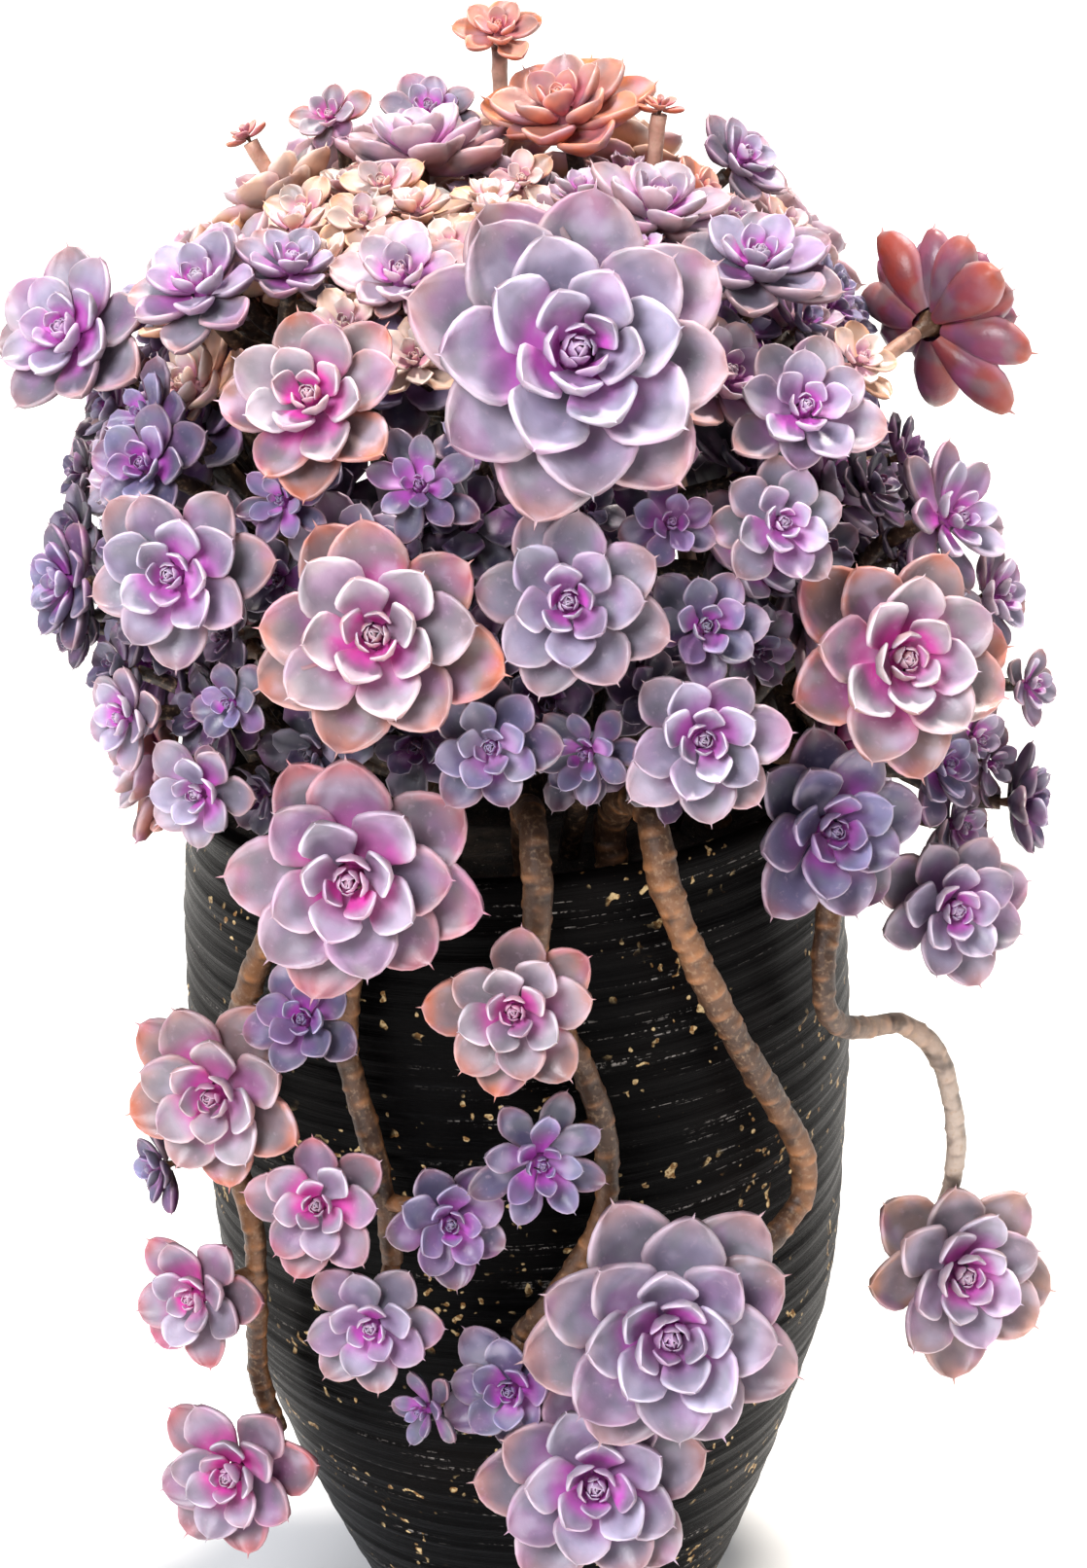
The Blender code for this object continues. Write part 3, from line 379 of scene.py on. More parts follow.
# Slow waves along a stem: two of its thickness, how worn it is, and the wave of its wear; the worn
# tone is partly a painted highlight on the ridges.
SWELL = (0.05, 0.11, 1.3)
SWIRL = (0.04, 0.29)
WORN_AND_HIGHLIGHT = (0.14, 0.7)
STREAK = (0.30, 0.045, 0.6)
ROUTE_PARTS = 12
CURVE_PULL = 2.6
TRUNK_DEPTH = 20
KNOT_BACK = 2
# Scars of old leaves: how far apart, with chance, their turn's chance, rise, width and length, and
# the groove above each.
SCAR_GAP = 4.2
SCAR_GAPS = (0.6, 1.5)
SCAR_TURN = 0.3
SCAR_RISE = 0.13
SCAR_WIDE = 0.8
SCAR_LONG = 1.5
GROOVE_AFTER = 2.8
GROOVE_LONG = 1.1
GROOVE_DEPTH = 0.6
GROOVE_SHADE = 0.5

# Colours, linear: the middle of a blade, the heart of the rosette, its outer leaves, the rims and
# tips, the undersides, and the pale bloom towards a blade's edges and tip, which also stands for painted
# sheen there.
# The sixth row is near-black painted shade and the seventh a paler lilac of painted sunlight, given to
# heads by where they stand.
PALETTES = {name: np.reshape(row, (6, 3)) for name, *row in table("""
lilac .215 .18 .275  .64 .1 .56  .175 .15 .185  .42 .21 .2  .11 .045 .07  .72 .66 .84
peach .235 .19 .235  .78 .07 .46  .18 .1 .09  .54 .14 .06  .26 .065 .03  .74 .67 .74
tan .25 .205 .285  .7 .11 .54  .26 .18 .155  .54 .25 .15  .2 .07 .04  .74 .67 .82
rose .24 .18 .275  .84 .055 .46  .185 .115 .145  .48 .11 .11  .17 .04 .055  .8 .72 .86
slate .085 .075 .155  .46 .06 .46  .06 .05 .1  .2 .085 .11  .032 .017 .036  .33 .31 .52
dusk .036 .028 .062  .12 .015 .12  .026 .02 .042  .09 .035 .055  .016 .009 .018  .1 .085 .16
dawn .38 .3 .4  .62 .13 .54  .38 .26 .28  .68 .3 .22  .32 .13 .12  .82 .72 .82
ember .54 .23 .18  .58 .16 .22  .54 .16 .07  .74 .19 .04  .46 .085 .016  .8 .5 .4
wine .2 .09 .24  .48 .06 .36  .15 .06 .14  .5 .1 .02  .27 .03 .01  .42 .28 .46
beige .66 .49 .42  .62 .25 .35  .64 .37 .23  .74 .33 .13  .4 .16 .07  .9 .79 .7
""")}
HEAD_PALETTES = {
    "right_back": "wine", "right_hang": "tan",
    **dict.fromkeys(("top_peach", "orange_right", "stem_left", "stem_right", "top_bud"), "ember"),
    **dict.fromkeys(("top_beige", "beige_a", "beige_b", "beige_c", "pale_right", "brown_small"), "beige"),
}
# Filling heads above a height get pale palettes, painted light where they stand in full sun; shaded
# ones get pale palettes high up, painted light, and a near-black one low down, painted shade.
FILL_PALE_ABOVE = 655
FILL_PALETTES = {"lilac": "dawn", "slate": "dawn", "peach": "beige", "rose": "beige"}
SHADED_PALE_ABOVE = 690
SHADED_DARK_BELOW = 640
SHADED_BEIGE_TO = 30

# Where a leaf's paint changes, from none to full: on the way in from the rosette's edge (IN), along
# the leaf (ALONG), aside from its middle line (ASIDE) and down through its thickness (DOWN).
# The shares of powder (bloom and painted sheen), rim and underside are: the least, what the place adds,
# what chance adds.
OUTER_IN = (0.5, 0.0)
PALE_CHANCE = 0.14
# Powder: the pale bloom, with a painted sheen towards the tip and the edges.
POWDER_AND_SHEEN = (0.12, 0.32, 0.50)
POWDER_AND_SHEEN_SHARE = (0.36, 0.84, 0.16)
POWDER_AND_SHEEN_IN = (0.22, 0.70)
POWDER_AND_SHEEN_ALONG = (0.45, 0.95)
POWDER_AND_SHEEN_ASIDE = (0.35, 0.95)
POWDER_AND_SHEEN_MOST = 0.9
HEART_IN = (0.62, 1.0)
HEART_SHARE = 0.55
HEART_CHANCE = 0.14
BLUSH_IN = (0.22, 0.70)
BLUSH_ALONG = (0.74, 0.20)
BLUSH_FADE = (0.40, 0.90)
BLUSH_CHANCE = 0.40
BLUSH_SHARE = (0.95, 0.66)
RIM_IN = (0.62, 0.0)
RIM_ALONG = (0.70, 1.0)
RIM_ASIDE = (0.55, 1.0)
RIM_SIDE = 0.75
RIM_SHARE = (0.10, 0.85, 0.25)
UNDER_DOWN = (0.15, 0.7)
UNDER_SHARE = (0.26, 0.3, 0.26)

# What bark and cores are marked with, as if halfway along a leaf on its middle line.
MIDDLE_MARKS = np.array((0.5, 0, 0))

# Noises of the materials: waves in a metre, and detail.
LEAF_BROAD = (62, 1.5)
LEAF_FINE = (300, 3.0)
BARK_ROUGH = (420, 4.0)
CLAY_PATCH = (11, 3.0)
CLAY_DOTS = (420, 2.0)
CLAY_GRAIN = (185, 1.0)
CLAY_AREA = (24, 2.0)
CLAY_STRETCH = (9, 9, 420)
SOIL_LUMPS = (160, 4.0)
# Washes over a leaf's own tone: the noise, where it starts and is full, its share there, its colour,
# and whether it fades on the underside.
LEAF_WASHES = [
    ((56, 1.5), 0.50, 0.66, 0.42, (0.20, 0.21, 0.22), False),
    ((45, 1.0), 0.52, 0.68, 0.28, (0.40, 0.11, 0.38), False),
    (LEAF_BROAD, 0.56, 0.30, 0.42, (0.075, 0.065, 0.095), False),
    (LEAF_BROAD, 0.54, 0.72, 0.34, (0.66, 0.58, 0.72), True),
    (LEAF_FINE, 0.58, 0.76, 0.22, (0.62, 0.46, 0.56), True),
]
# A pale line along leaf edges and tips: partly their pale margin, partly a painted highlight on the
# rounded edge.
RIM_LINE_AND_HIGHLIGHT = (0.82, 0.68, 0.74)
BARK_WASHES = [
    (BARK_ROUGH, 0.5, 0.72, 0.5, (0.34, 0.22, 0.13)),
    ((70, 2.0), 0.5, 0.32, 0.7, (0.022, 0.010, 0.006)),
]
CLAY_TONES = ((0.0012, 0.0011, 0.0012), (0.005, 0.0035, 0.003))
# Pale scratches along the rings, partly a painted glint on their glossy edges.
SCRATCH_AND_GLINT_TONE = (0.34, 0.31, 0.29)
OCHRE_TONES = ((0.20, 0.10, 0.035), (0.62, 0.46, 0.24))
SOIL_TONES = ((0.006, 0.004, 0.003), (0.028, 0.018, 0.012))
SOIL_WASHES = [((480, 2.0), 0.66, 0.72, 1.0, (0.12, 0.10, 0.08))]


def place(azimuth, reach, height):
    """The point at an azimuth from the front (towards +X), a reach and a height."""
    angle = math.radians(azimuth)
    return Vector((math.sin(angle) * reach, -math.cos(angle) * reach, height)) * MM


def facing(turn, tilt):
    """The unit direction at an azimuth from the front and an elevation."""
    level = math.cos(math.radians(tilt))
    angle = math.radians(turn)
    return Vector((math.sin(angle) * level, -math.cos(angle) * level, math.sin(math.radians(tilt))))


def across(direction):
    """Two unit directions square to this one and to each other, in right-handed order."""
    helper = UP if abs(direction.z) < NEARLY_UP else Vector((0, 1, 0))
    right = helper.cross(direction).normalized()
    return right, direction.cross(right)


def smooth(low, high, value):
    """A value's way from one end of a range to the other, eased and held at both ends."""
    t = np.clip((value - low) / (high - low), 0, 1)
    return t * t * (3 - 2 * t)


def smooth_route(stops, step):
    """Points about one step apart along a smooth curve through the stops."""
    padded = [stops[0] * 2 - stops[1]] + stops + [stops[-1] * 2 - stops[-2]]
    fine = []
    for a, b, c, d in zip(padded, padded[1:], padded[2:], padded[3:]):
        for k in range(ROUTE_PARTS):
            t = k / ROUTE_PARTS
            fine.append(0.5 * (b * 2 + (c - a) * t + (a * 2 - b * 5 + c * 4 - d) * t * t
                               + (b * 3 - a - c * 3 + d) * t ** 3))
    fine.append(stops[-1])
    lengths = [0.0]
    for a, b in zip(fine, fine[1:]):
        lengths.append(lengths[-1] + (b - a).length)
    count = max(2, round(lengths[-1] / (step * MM)))
    route = []
    k = 0
    for n in range(count + 1):
        goal = lengths[-1] * n / count
        while k < len(fine) - 2 and lengths[k + 1] < goal:
            k += 1
        share = (goal - lengths[k]) / max(lengths[k + 1] - lengths[k], 1e-9)
        route.append(fine[k].lerp(fine[k + 1], min(share, 1.0)))
    return route


def curve(a, way_a, b, way_b, step):
    """Points along a smooth curve that leaves a and reaches b in given directions."""
    pull = (b - a).length / CURVE_PULL
    count = max(3, round((b - a).length / (step * MM)))
    c1, c2 = a + way_a * pull, b - way_b * pull
    points = []
    for k in range(count + 1):
        t = k / count
        points.append(a * (1 - t) ** 3 + c1 * 3 * t * (1 - t) ** 2 + c2 * 3 * t * t * (1 - t) + b * t ** 3)
    return points


def dome_place(share):
    """Reach, height and the elevation faced at a share of the way down the dome's profile."""
    spot = share * (len(DOME) - 1)
    k = min(int(spot), len(DOME) - 2)
    (reach_a, height_a), (reach_b, height_b) = DOME[k], DOME[k + 1]
    part = spot - k
    slope = math.degrees(math.atan2(reach_b - reach_a, height_a - height_b))
    tilt = max(LEAST_TILT, min(MOST_TILT, slope * TILT_SHARE + LEAST_TILT))
    return reach_a + (reach_b - reach_a) * part, height_a + (height_b - height_a) * part, tilt


def fill_heads(placed):
    """Sets further heads over the dome, the largest first, wherever there is still room."""
    draw = random.Random(FILL_SEED)
    heads = []
    spots = [(place(h.azimuth, h.reach, h.height), h.radius) for h in placed]
    for radius in FILL_RADII:
        for _ in range(FILL_TRIES):
            if len(heads) == FILL_LIMIT:
                return heads
            azimuth = draw.uniform(-180, 180)
            reach, height, tilt = dome_place(draw.random() ** FILL_LOWER)
            _, lowest, largest, inset = next(zone for zone in FILL_ZONES if abs(azimuth) <= zone[0])
            if height < lowest or radius > largest:
                continue
            reach *= inset
            spot = place(azimuth, reach, height)
            if all((spot - other).length > FILL_SPACING * (radius + size) * MM
                   for other, size in spots):
                spots.append((spot, radius))
                turn = azimuth + draw.uniform(-FILL_TURN, FILL_TURN)
                tint = FILL_TINTS[len(heads) % len(FILL_TINTS)]
                heads.append(Head(f"fill_{len(heads)}", round(azimuth), round(reach), round(height),
                                  round(turn), round(tilt), radius, tint))
    return heads


def shaded_heads(placed):
    """Small dark heads in layers inside the dome, wherever there is room behind the others."""
    draw = random.Random(SHADED_SEED)
    heads = [Head(f"edge_{k}", *row, "lilac") for k, row in enumerate(EDGE_HEADS)]
    heads += [Head(f"shaded_gap_{k}", *row, "slate") for k, row in enumerate(GAP_HEADS)]
    taken = [(place(h.azimuth, h.reach, h.height) - facing(h.turn, h.tilt) * BEHIND * h.radius * MM,
              BEHIND_RADIUS * h.radius) for h in placed]
    for layer, (inset, smallest, largest, most, gap) in enumerate(SHADED_LAYERS):
        spots = list(taken) if layer == 0 else []
        count = 0
        for _ in range(SHADED_TRIES):
            if count == most:
                break
            azimuth = draw.uniform(-180, 180)
            reach, height, tilt = dome_place(draw.random() ** FILL_LOWER)
            radius = draw.uniform(smallest, largest)
            height -= (1 - inset) * SHADED_DROP
            reach *= inset
            spot = place(azimuth, reach, height)
            if height > SHADED_LOWEST and all(
                    (spot - other).length > gap * (radius + size) * MM for other, size in spots):
                spots.append((spot, radius))
                count += 1
                heads.append(Head(f"shaded_{layer}_{count}", azimuth, reach, height,
                                  azimuth + draw.uniform(-SHADED_TURN, SHADED_TURN),
                                  tilt + draw.uniform(-SHADED_TILT, SHADED_TILT), radius, "slate"))
    return heads


def is_shaded(head):
    return head.name.startswith("shaded")


def knots():
    """Name, place and hole of each knot where a stem inside the dome branches."""
    spots = []
    for ring, (count, first, reach, height, hole) in enumerate(KNOT_RINGS):
        for k in range(count):
            azimuth = first + 360 * k / count
            spots.append((f"branch_{ring}_{k}", place(azimuth, reach, height), place(azimuth, hole, 0)))
    return spots


def share_out(heads, spots):
    """Gives each head to a near knot behind it with an arm free, and no other head the same way."""
    groups = {name: [] for name, _, _ in spots}
    ways = {name: [] for name, _, _ in spots}
    for head in sorted(heads, key=lambda h: -h.radius):
        normal = facing(head.turn, head.tilt)
        centre = place(head.azimuth, head.reach, head.height) - normal * CORE_SUNK * head.radius * MM

        def detour(spot):
            way = centre - spot[1]
            return way.length * (DETOUR - way.normalized().dot(normal))

        free = sorted((spot for spot in spots if len(groups[spot[0]]) < MOST_ARMS), key=detour)
        clear = [(name, spot) for name, spot, _ in free
                 if all((centre - spot).angle(way) > math.radians(ARM_SPREAD) for way in ways[name])]
        name, spot = clear[0] if clear else free[0][:2]
        groups[name].append(head)
        ways[name].append(centre - spot)
    return groups


def link(name, data):
    """A new object in the scene for a mesh, a light or a camera."""
    made = bpy.data.objects.new(name, data)
    bpy.context.scene.collection.objects.link(made)
    return made


class Mesh:
    """Gathers points, faces and what is painted on them, for one piece."""

    def __init__(self):
        self.points = []
        self.faces = []
        self.slots = []
        self.tones = []
        self.marks = []
        self.count = 0

    def add(self, points, faces, slot, tones, marks):
        """Points, quads or triangles as index rows, a material slot, and per point a tone and marks."""
        self.points.append(points)
        for rows in faces:
            self.faces.extend((rows + self.count).tolist())
            self.slots.extend([slot] * len(rows))
        self.tones.append(np.broadcast_to(tones, (len(points), 3)))
        self.marks.append(np.broadcast_to(marks, (len(points), 3)))
        self.count += len(points)

    def build(self, name, materials):
        mesh = bpy.data.meshes.new(name)
        mesh.from_pydata(np.concatenate(self.points).tolist(), [], self.faces)
        for material in materials:
            mesh.materials.append(material)
        mesh.polygons.foreach_set("material_index", self.slots)
        tones = np.ones((self.count, 4), np.float32)
        tones[:, :3] = np.clip(np.concatenate(self.tones), 0, 1)
        layer = mesh.color_attributes.new("tone", "FLOAT_COLOR", "POINT")
        layer.data.foreach_set("color", tones.ravel())
        marks = mesh.attributes.new("marks", "FLOAT_VECTOR", "POINT")
        marks.data.foreach_set("vector", np.concatenate(self.marks).astype(np.float32).ravel())
        mesh.shade_smooth()
        return link(name, mesh)


def turns_round(sides):
    return np.linspace(0, 2 * math.pi, sides + 1)[:-1]


def offsets(right, ahead, sides):
    """Unit steps evenly round, in the plane of two directions."""
    turns = turns_round(sides)
    return np.outer(np.cos(turns), np.array(right)) + np.outer(np.sin(turns), np.array(ahead))


def ring_faces(rings, sides):
    """Quads between rings of points, each ring stored in a row."""
    k, n = np.meshgrid(np.arange(rings - 1), np.arange(sides), indexing="ij")
    a = (k * sides + n).ravel()
    b = (k * sides + (n + 1) % sides).ravel()
    return np.stack([a, b, b + sides, a + sides], axis=1)


def cap_faces(first, sides, point, flip=False):
    """Triangles from a ring, which starts at an index, to one point."""
    n = np.arange(sides)
    a, b = first + n, first + (n + 1) % sides
    if flip:
        a, b = b, a
    return np.stack([a, b, np.full(sides, point)], axis=1)


class LeafPattern:
    """The grid that every leaf of one fineness is made on."""

    def __init__(self, rings, section):
        aside, down = section
        sides = len(aside)
        count = len(rings)
        self.faces = (ring_faces(count, sides)[:, ::-1],
                      cap_faces((count - 1) * sides, sides, count * sides, flip=True))
        self.s = np.repeat(np.array(rings), sides)
        self.u = np.tile(aside, count)
        self.v = np.tile(down, count)


FINE = LeafPattern(FINE_RINGS, FINE_ROUND)
PLAIN = LeafPattern(PLAIN_RINGS, PLAIN_ROUND)
SHADED = LeafPattern(SHADED_RINGS, SHADED_ROUND)


def pattern_for(head):
    if is_shaded(head):
        return SHADED
    seen = head.stem or not head.name.startswith("fill")
    front = abs(head.azimuth) < FRONT_AZIMUTH or head.height > HIGH_UP
    return FINE if seen and front and head.radius > FINE_RADIUS else PLAIN


def guard_faces():
    """The faces of a leaf's rough hull: its root, its sides and its tip."""
    last = (len(GUARD_RINGS) - 1) * GUARD_SIDES
    faces = [(3, 2, 1), (3, 1, 0)]
    for a, b, c, d in ring_faces(len(GUARD_RINGS), GUARD_SIDES).tolist():
        faces += [(a, b, c), (a, c, d)]
    return faces + cap_faces(last, GUARD_SIDES, last + GUARD_SIDES).tolist()


GUARD_FACES = guard_faces()


def half_width(s):
    """A leaf's half width at a share of its length, as a share of its greatest."""
    rise = np.sin(np.pi / 2 * np.clip(s / WIDEST_AT, 0, 1)) ** BASE_CURVE
    t = np.clip((s - WIDEST_AT) / (1 - WIDEST_AT), 0, 1)
    arc, straight, blunt = TIP_SHARES
    tip = arc * np.sqrt(1 - t ** TIP_CURVE) + straight * (1 - t) + blunt
    return (BASE_WIDTH + (1 - BASE_WIDTH) * rise) * tip


def palette_of(head):
    """The palette of a head, by where it stands in the light."""
    if is_shaded(head):
        # Pale palettes high up are painted light; the near-black one low down is painted shade.
        if head.height > SHADED_PALE_ABOVE:
            return "beige" if head.azimuth < SHADED_BEIGE_TO else "dawn"
        return "dusk" if head.height < SHADED_DARK_BELOW else "slate"
    if head.name.startswith("fill") and head.height > FILL_PALE_ABOVE:
        return FILL_PALETTES[head.tint]
    return HEAD_PALETTES.get(head.name, head.tint)


class Rosette:
    """One head's leaves, each with the place where it grows, its direction and its size."""

    def __init__(self, head):
        self.head = head
        self.radius = head.radius
        self.normal = facing(head.turn, head.tilt)
        self.right, self.ahead = across(self.normal)
        self.centre = place(head.azimuth, head.reach, head.height)
        self.centre -= self.normal * CORE_SUNK * self.radius * MM
        draw = random.Random(head.name)
        self.spin = draw.uniform(0, 360)
        self.leaves = next(count for limit, count in LEAF_COUNTS if self.radius <= limit)
        self.buds = BUD_LEAVES
        if is_shaded(head):
            self.leaves, self.buds = SHADED_LEAVES, SHADED_BUDS
        if head.name == "right_back":
            self.leaves = BACK_LEAVES
        self.slim = NARROW if head.name in NARROW_HEADS else 1.0
        self.palette = PALETTES[palette_of(head)]
        self.chances = [[draw.uniform(-1, 1) for _ in range(6)]
                        for _ in range(self.leaves + self.buds)]
        self.fits = {}

    def neck(self):
        return self.centre - self.normal * NECK * self.radius * MM

    def frame_of(self, i, fit):
        """Root, outward and sideways directions, way in, rise in degrees, and length in metres."""
        share, bend = fit
        turn, lift, stretch, *_ = self.chances[i]
        angle = math.radians(i * GOLDEN + self.spin + turn * TURN_CHANCE)
        out = self.right * math.cos(angle) + self.ahead * math.sin(angle)
        side = self.normal.cross(out)
        if i < self.leaves:
            inward = i / (self.leaves - 1)
            rise = OUTER_RISE + (INNER_RISE - OUTER_RISE) * inward ** RISE_CURVE + lift * LIFT_CHANCE
            gather = CORE_RADIUS * (1 - GATHER * inward ** SHORTER_CURVE)
            height = CORE_HEIGHT * inward
            reach = REACH * (1 - INNER_SHORTER * inward ** SHORTER_CURVE) - CORE_RADIUS
        else:
            bud = (i - self.leaves + 1) / self.buds
            inward = 1.0
            rise = BUD_RISE[0] + BUD_RISE[1] * bud
            gather = BUD_RADIUS[0] * (1 - BUD_RADIUS[1] * bud)
            height = CORE_HEIGHT * (BUD_HEIGHT[0] + BUD_HEIGHT[1] * bud)
            reach = BUD_LENGTH[0] - BUD_LENGTH[1] * bud
        root = self.centre + (out * gather + self.normal * height) * self.radius * MM
        length = reach * self.radius * (1 + stretch * LENGTH_CHANCE) * share * MM
        return root, out, side, inward, rise + bend, length

    def spine(self, rise, length, shares):
        """Distance out, distance up and slope at shares of a leaf's length."""
        fine = np.linspace(0, 1, SPINE_PARTS + 1)
        curl = TIP_CURL * (0.5 + 0.5 * min(max(rise, 0) / FULL_CURL_RISE, 1))
        slope = np.radians(np.minimum(rise + curl * (fine ** 2 - CURL_FROM), MOST_SLOPE))
        middle = (slope[1:] + slope[:-1]) / 2
        step = length / SPINE_PARTS
        out, up = (np.concatenate([[0], np.cumsum(way(middle)) * step]) for way in (np.cos, np.sin))
        return [np.interp(shares, fine, values) for values in (out, up, slope)]

    def guard(self, i, fit):
        """The points of a leaf's rough hull, to test for room."""
        root, out, side, _, rise, length = self.frame_of(i, fit)
        shares = [share for share, _, _ in GUARD_RINGS] + [1.0]
        points = []
        for n, (x, z, slope) in enumerate(zip(*self.spine(rise, length, np.array(shares)))):
            middle = root + out * x + self.normal * z
            if n == len(GUARD_RINGS):
                points.append(middle)
                break
            _, wide, deep = GUARD_RINGS[n]
            above = self.normal * math.cos(slope) - out * math.sin(slope)
            wide *= self.slim
            cup = above * length * wide * wide
            points += [middle - above * length * deep, middle + side * length * wide + cup,
                       middle + above * length * GUARD_TOP, middle - side * length * wide + cup]
        return points

    def tones(self, i, s, u, v, inward):
        """The colour of each point of a leaf, with painted sheen towards its tip and edges, before the
        fine mottling of the material.
        """
        blade, heart, outer, rim, under, bloom_and_sheen = self.palette
        _, _, _, warm, pale, blush = self.chances[i]
        aside = np.abs(u)
        body = blade + (outer - blade) * smooth(*OUTER_IN, inward)
        body = body * (1 + PALE_CHANCE * pale)
        least, sides, end = POWDER_AND_SHEEN
        # Pale bloom, partly a painted sheen towards the tip and the edges of the blade.
        powder_and_sheen = least + sides * smooth(*POWDER_AND_SHEEN_ASIDE, aside) + end * smooth(*POWDER_AND_SHEEN_ALONG, s)
        least, inner, chance = POWDER_AND_SHEEN_SHARE
        powder_and_sheen *= least + inner * smooth(*POWDER_AND_SHEEN_IN, inward) + chance * pale
        colour = body + (bloom_and_sheen - body) * np.clip(powder_and_sheen, 0, POWDER_AND_SHEEN_MOST)[:, None]
        pink = smooth(*HEART_IN, inward + HEART_CHANCE * blush) * HEART_SHARE
        flush = smooth(*BLUSH_IN, inward + BLUSH_CHANCE * blush) * smooth(*BLUSH_ALONG, s)
        most, less = BLUSH_SHARE
        pink = np.clip(pink + flush, 0, 1) * (most - less * smooth(*BLUSH_FADE, s))
        colour = colour + (heart - colour) * pink[:, None]
        edge = np.maximum(smooth(*RIM_ASIDE, aside) * RIM_SIDE, smooth(*RIM_ALONG, s))
        least, outer_more, chance = RIM_SHARE
        warmth = edge * (least + outer_more * smooth(*RIM_IN, inward) + chance * warm)
        colour = colour + (rim - colour) * np.clip(warmth, 0, 1)[:, None]
        least, inner, chance = UNDER_SHARE
        shade = under + (colour - under) * (least + inner * inward + chance * warm)
        return colour + (shade - colour) * smooth(*UNDER_DOWN, v)[:, None]

    def grow(self, mesh, pattern):
        """Adds the leaves and the short core that they grow on."""
        for i in range(self.leaves + self.buds):
            fit = self.fits.get(i) if i < self.leaves else (1.0, 0)
            if fit is not None:
                self.grow_leaf(mesh, pattern, i, fit)
        self.grow_core(mesh)

    def grow_leaf(self, mesh, pattern, i, fit):
        root, out, side, inward, rise, length = self.frame_of(i, fit)
        s, u, v = pattern.s, pattern.u, pattern.v
        x, z, slope = self.spine(rise, length, s)
        wide = HALF_WIDTH * (1 + INNER_WIDER * inward) * self.slim * half_width(s) * length
        lean = self.chances[i][3] * LEAN_CHANCE
        roll = self.chances[i][5] * ROLL_CHANCE
        bent = np.minimum(np.abs(u) / CUP_ASIDE, 1)
        root_curve, flatter = CUP_CURVE
        cup = wide * LEAF_CUP * bent ** (root_curve - flatter * smooth(*CUP_FLATTER, s))
        cup *= CUP_ROOT + (1 - CUP_ROOT) * np.clip(s / WIDEST_AT, 0, 1)
        full, taper = DEPTH_TAPER
        thick = (half_width(s) / half_width(THICK_AT)) ** DEPTH_CURVE
        depth = LEAF_DEPTH * length * (full - taper * s) * thick
        height = cup + roll * u * wide - v * depth
        basis = np.array([out, side, self.normal])
        grid = np.stack([x - np.sin(slope) * height, u * wide + lean * length * s * s,
                         z + np.cos(slope) * height], axis=1) @ basis + np.array(root)
        tip_x, tip_z, tip_slope = (float(value[0]) for value in self.spine(rise, length, np.ones(1)))
        point = TIP_POINT * length
        tip = np.array([tip_x + math.cos(tip_slope) * point, lean * length,
                        tip_z + math.sin(tip_slope) * point]) @ basis + np.array(root)
        along, beside, down = np.append(s, 1.0), np.append(u, 0.0), np.append(v, TIP_DOWN)
        marks = np.stack([along, np.abs(beside), down], axis=1)
        tones = self.tones(i, along, beside, down, inward)
        mesh.add(np.vstack([grid, tip]), pattern.faces, 0, tones, marks)

    def grow_core(self, mesh):
        size = self.radius * MM
        flat = offsets(self.right, self.ahead, CORE_SIDES)
        rings = [np.array(self.centre + self.normal * height * size) + flat * reach * size
                 for height, reach in CORE_STOPS]
        heart = self.palette[1] * CORE_HEART
        tones = np.repeat([np.array(BARK[0]) * CORE_BARK] * 3 + [heart] * 2, CORE_SIDES, axis=0)
        mesh.add(np.vstack(rings), (ring_faces(len(rings), CORE_SIDES),), 1, tones, MIDDLE_MARKS)


class Guards:
    """Hulls that the leaves stay clear of, with their boxes for a quick first test."""

    def __init__(self, most):
        self.hulls = []
        self.lows = np.full((most, 3), FAR)
        self.highs = np.full((most, 3), FAR)

    def add(self, owner, rows, tree):
        k = len(self.hulls)
        self.lows[k], self.highs[k] = rows.min(axis=0), rows.max(axis=0)
        self.hulls.append((owner, tree))

    def blocks(self, owner, rows, tree):
        near = ((self.lows <= rows.max(axis=0)) & (self.highs >= rows.min(axis=0))).all(axis=1)
        return any(self.hulls[k][0] != owner and tree.overlap(self.hulls[k][1])
                   for k in np.nonzero(near)[0])


def in_urn(rows):
    """Whether any point lies in the urn or within a small gap of its outside."""
    x, y, height = rows.T / MM
    reaches, heights = zip(*POT_OUTSIDE)
    wall = np.interp(height, heights, reaches)
    return ((np.hypot(x, y) < wall + WALL_GAP) & (height < heights[-1] + WALL_GAP)).any()


def make_room(rosettes):
    """Bends or shortens each leaf until it is clear of every other head, the stems and the urn."""
    order = []
    for rosette in rosettes:
        for i in range(rosette.leaves):
            late = 1 - i / rosette.leaves
            if rosette.radius > BIG_HEAD:
                late -= BIG_HEAD_FIRST
            order.append((late, -rosette.radius, rosette.head.name, i, rosette))
    guards = Guards(len(STEMS) + len(order))
    step, sides = STEM_GUARD
    for name, (_, start, end) in STEMS.items():
        route = stem_route(name, step)
        points = tube_points(route, np.linspace(start, end, len(route)), sides)
        tree = BVHTree.FromPolygons(points.tolist(), ring_faces(len(route), sides).tolist())
        guards.add(name, points, tree)
    for _, _, name, i, rosette in sorted(order, key=lambda row: row[:4]):
        for fit in FITS:
            if fit[1] < 0 and i >= OUTER_TURN:
                continue
            points = rosette.guard(i, fit)
            rows = np.array(points)
            tree = BVHTree.FromPolygons(points, GUARD_FACES)
            if not in_urn(rows) and not guards.blocks(name, rows, tree):
                rosette.fits[i] = fit
                guards.add(name, rows, tree)
                break


def tube_points(route, radii, sides, sizes=None):
    """Rings of points along a route, carried along without twist, with a size for each point."""
    right = None
    rings = []
    last = len(route) - 1
    for k, point in enumerate(route):
        along = (route[min(k + 1, last)] - route[max(k - 1, 0)]).normalized()
        if right is None:
            right = across(along)[0]
        right = (right - along * right.dot(along)).normalized()
        flat = offsets(right, along.cross(right), sides)
        size = 1 if sizes is None else sizes[k][:, None]
        rings.append(np.array(point) + flat * size * radii[k] * MM)
    return np.vstack(rings)


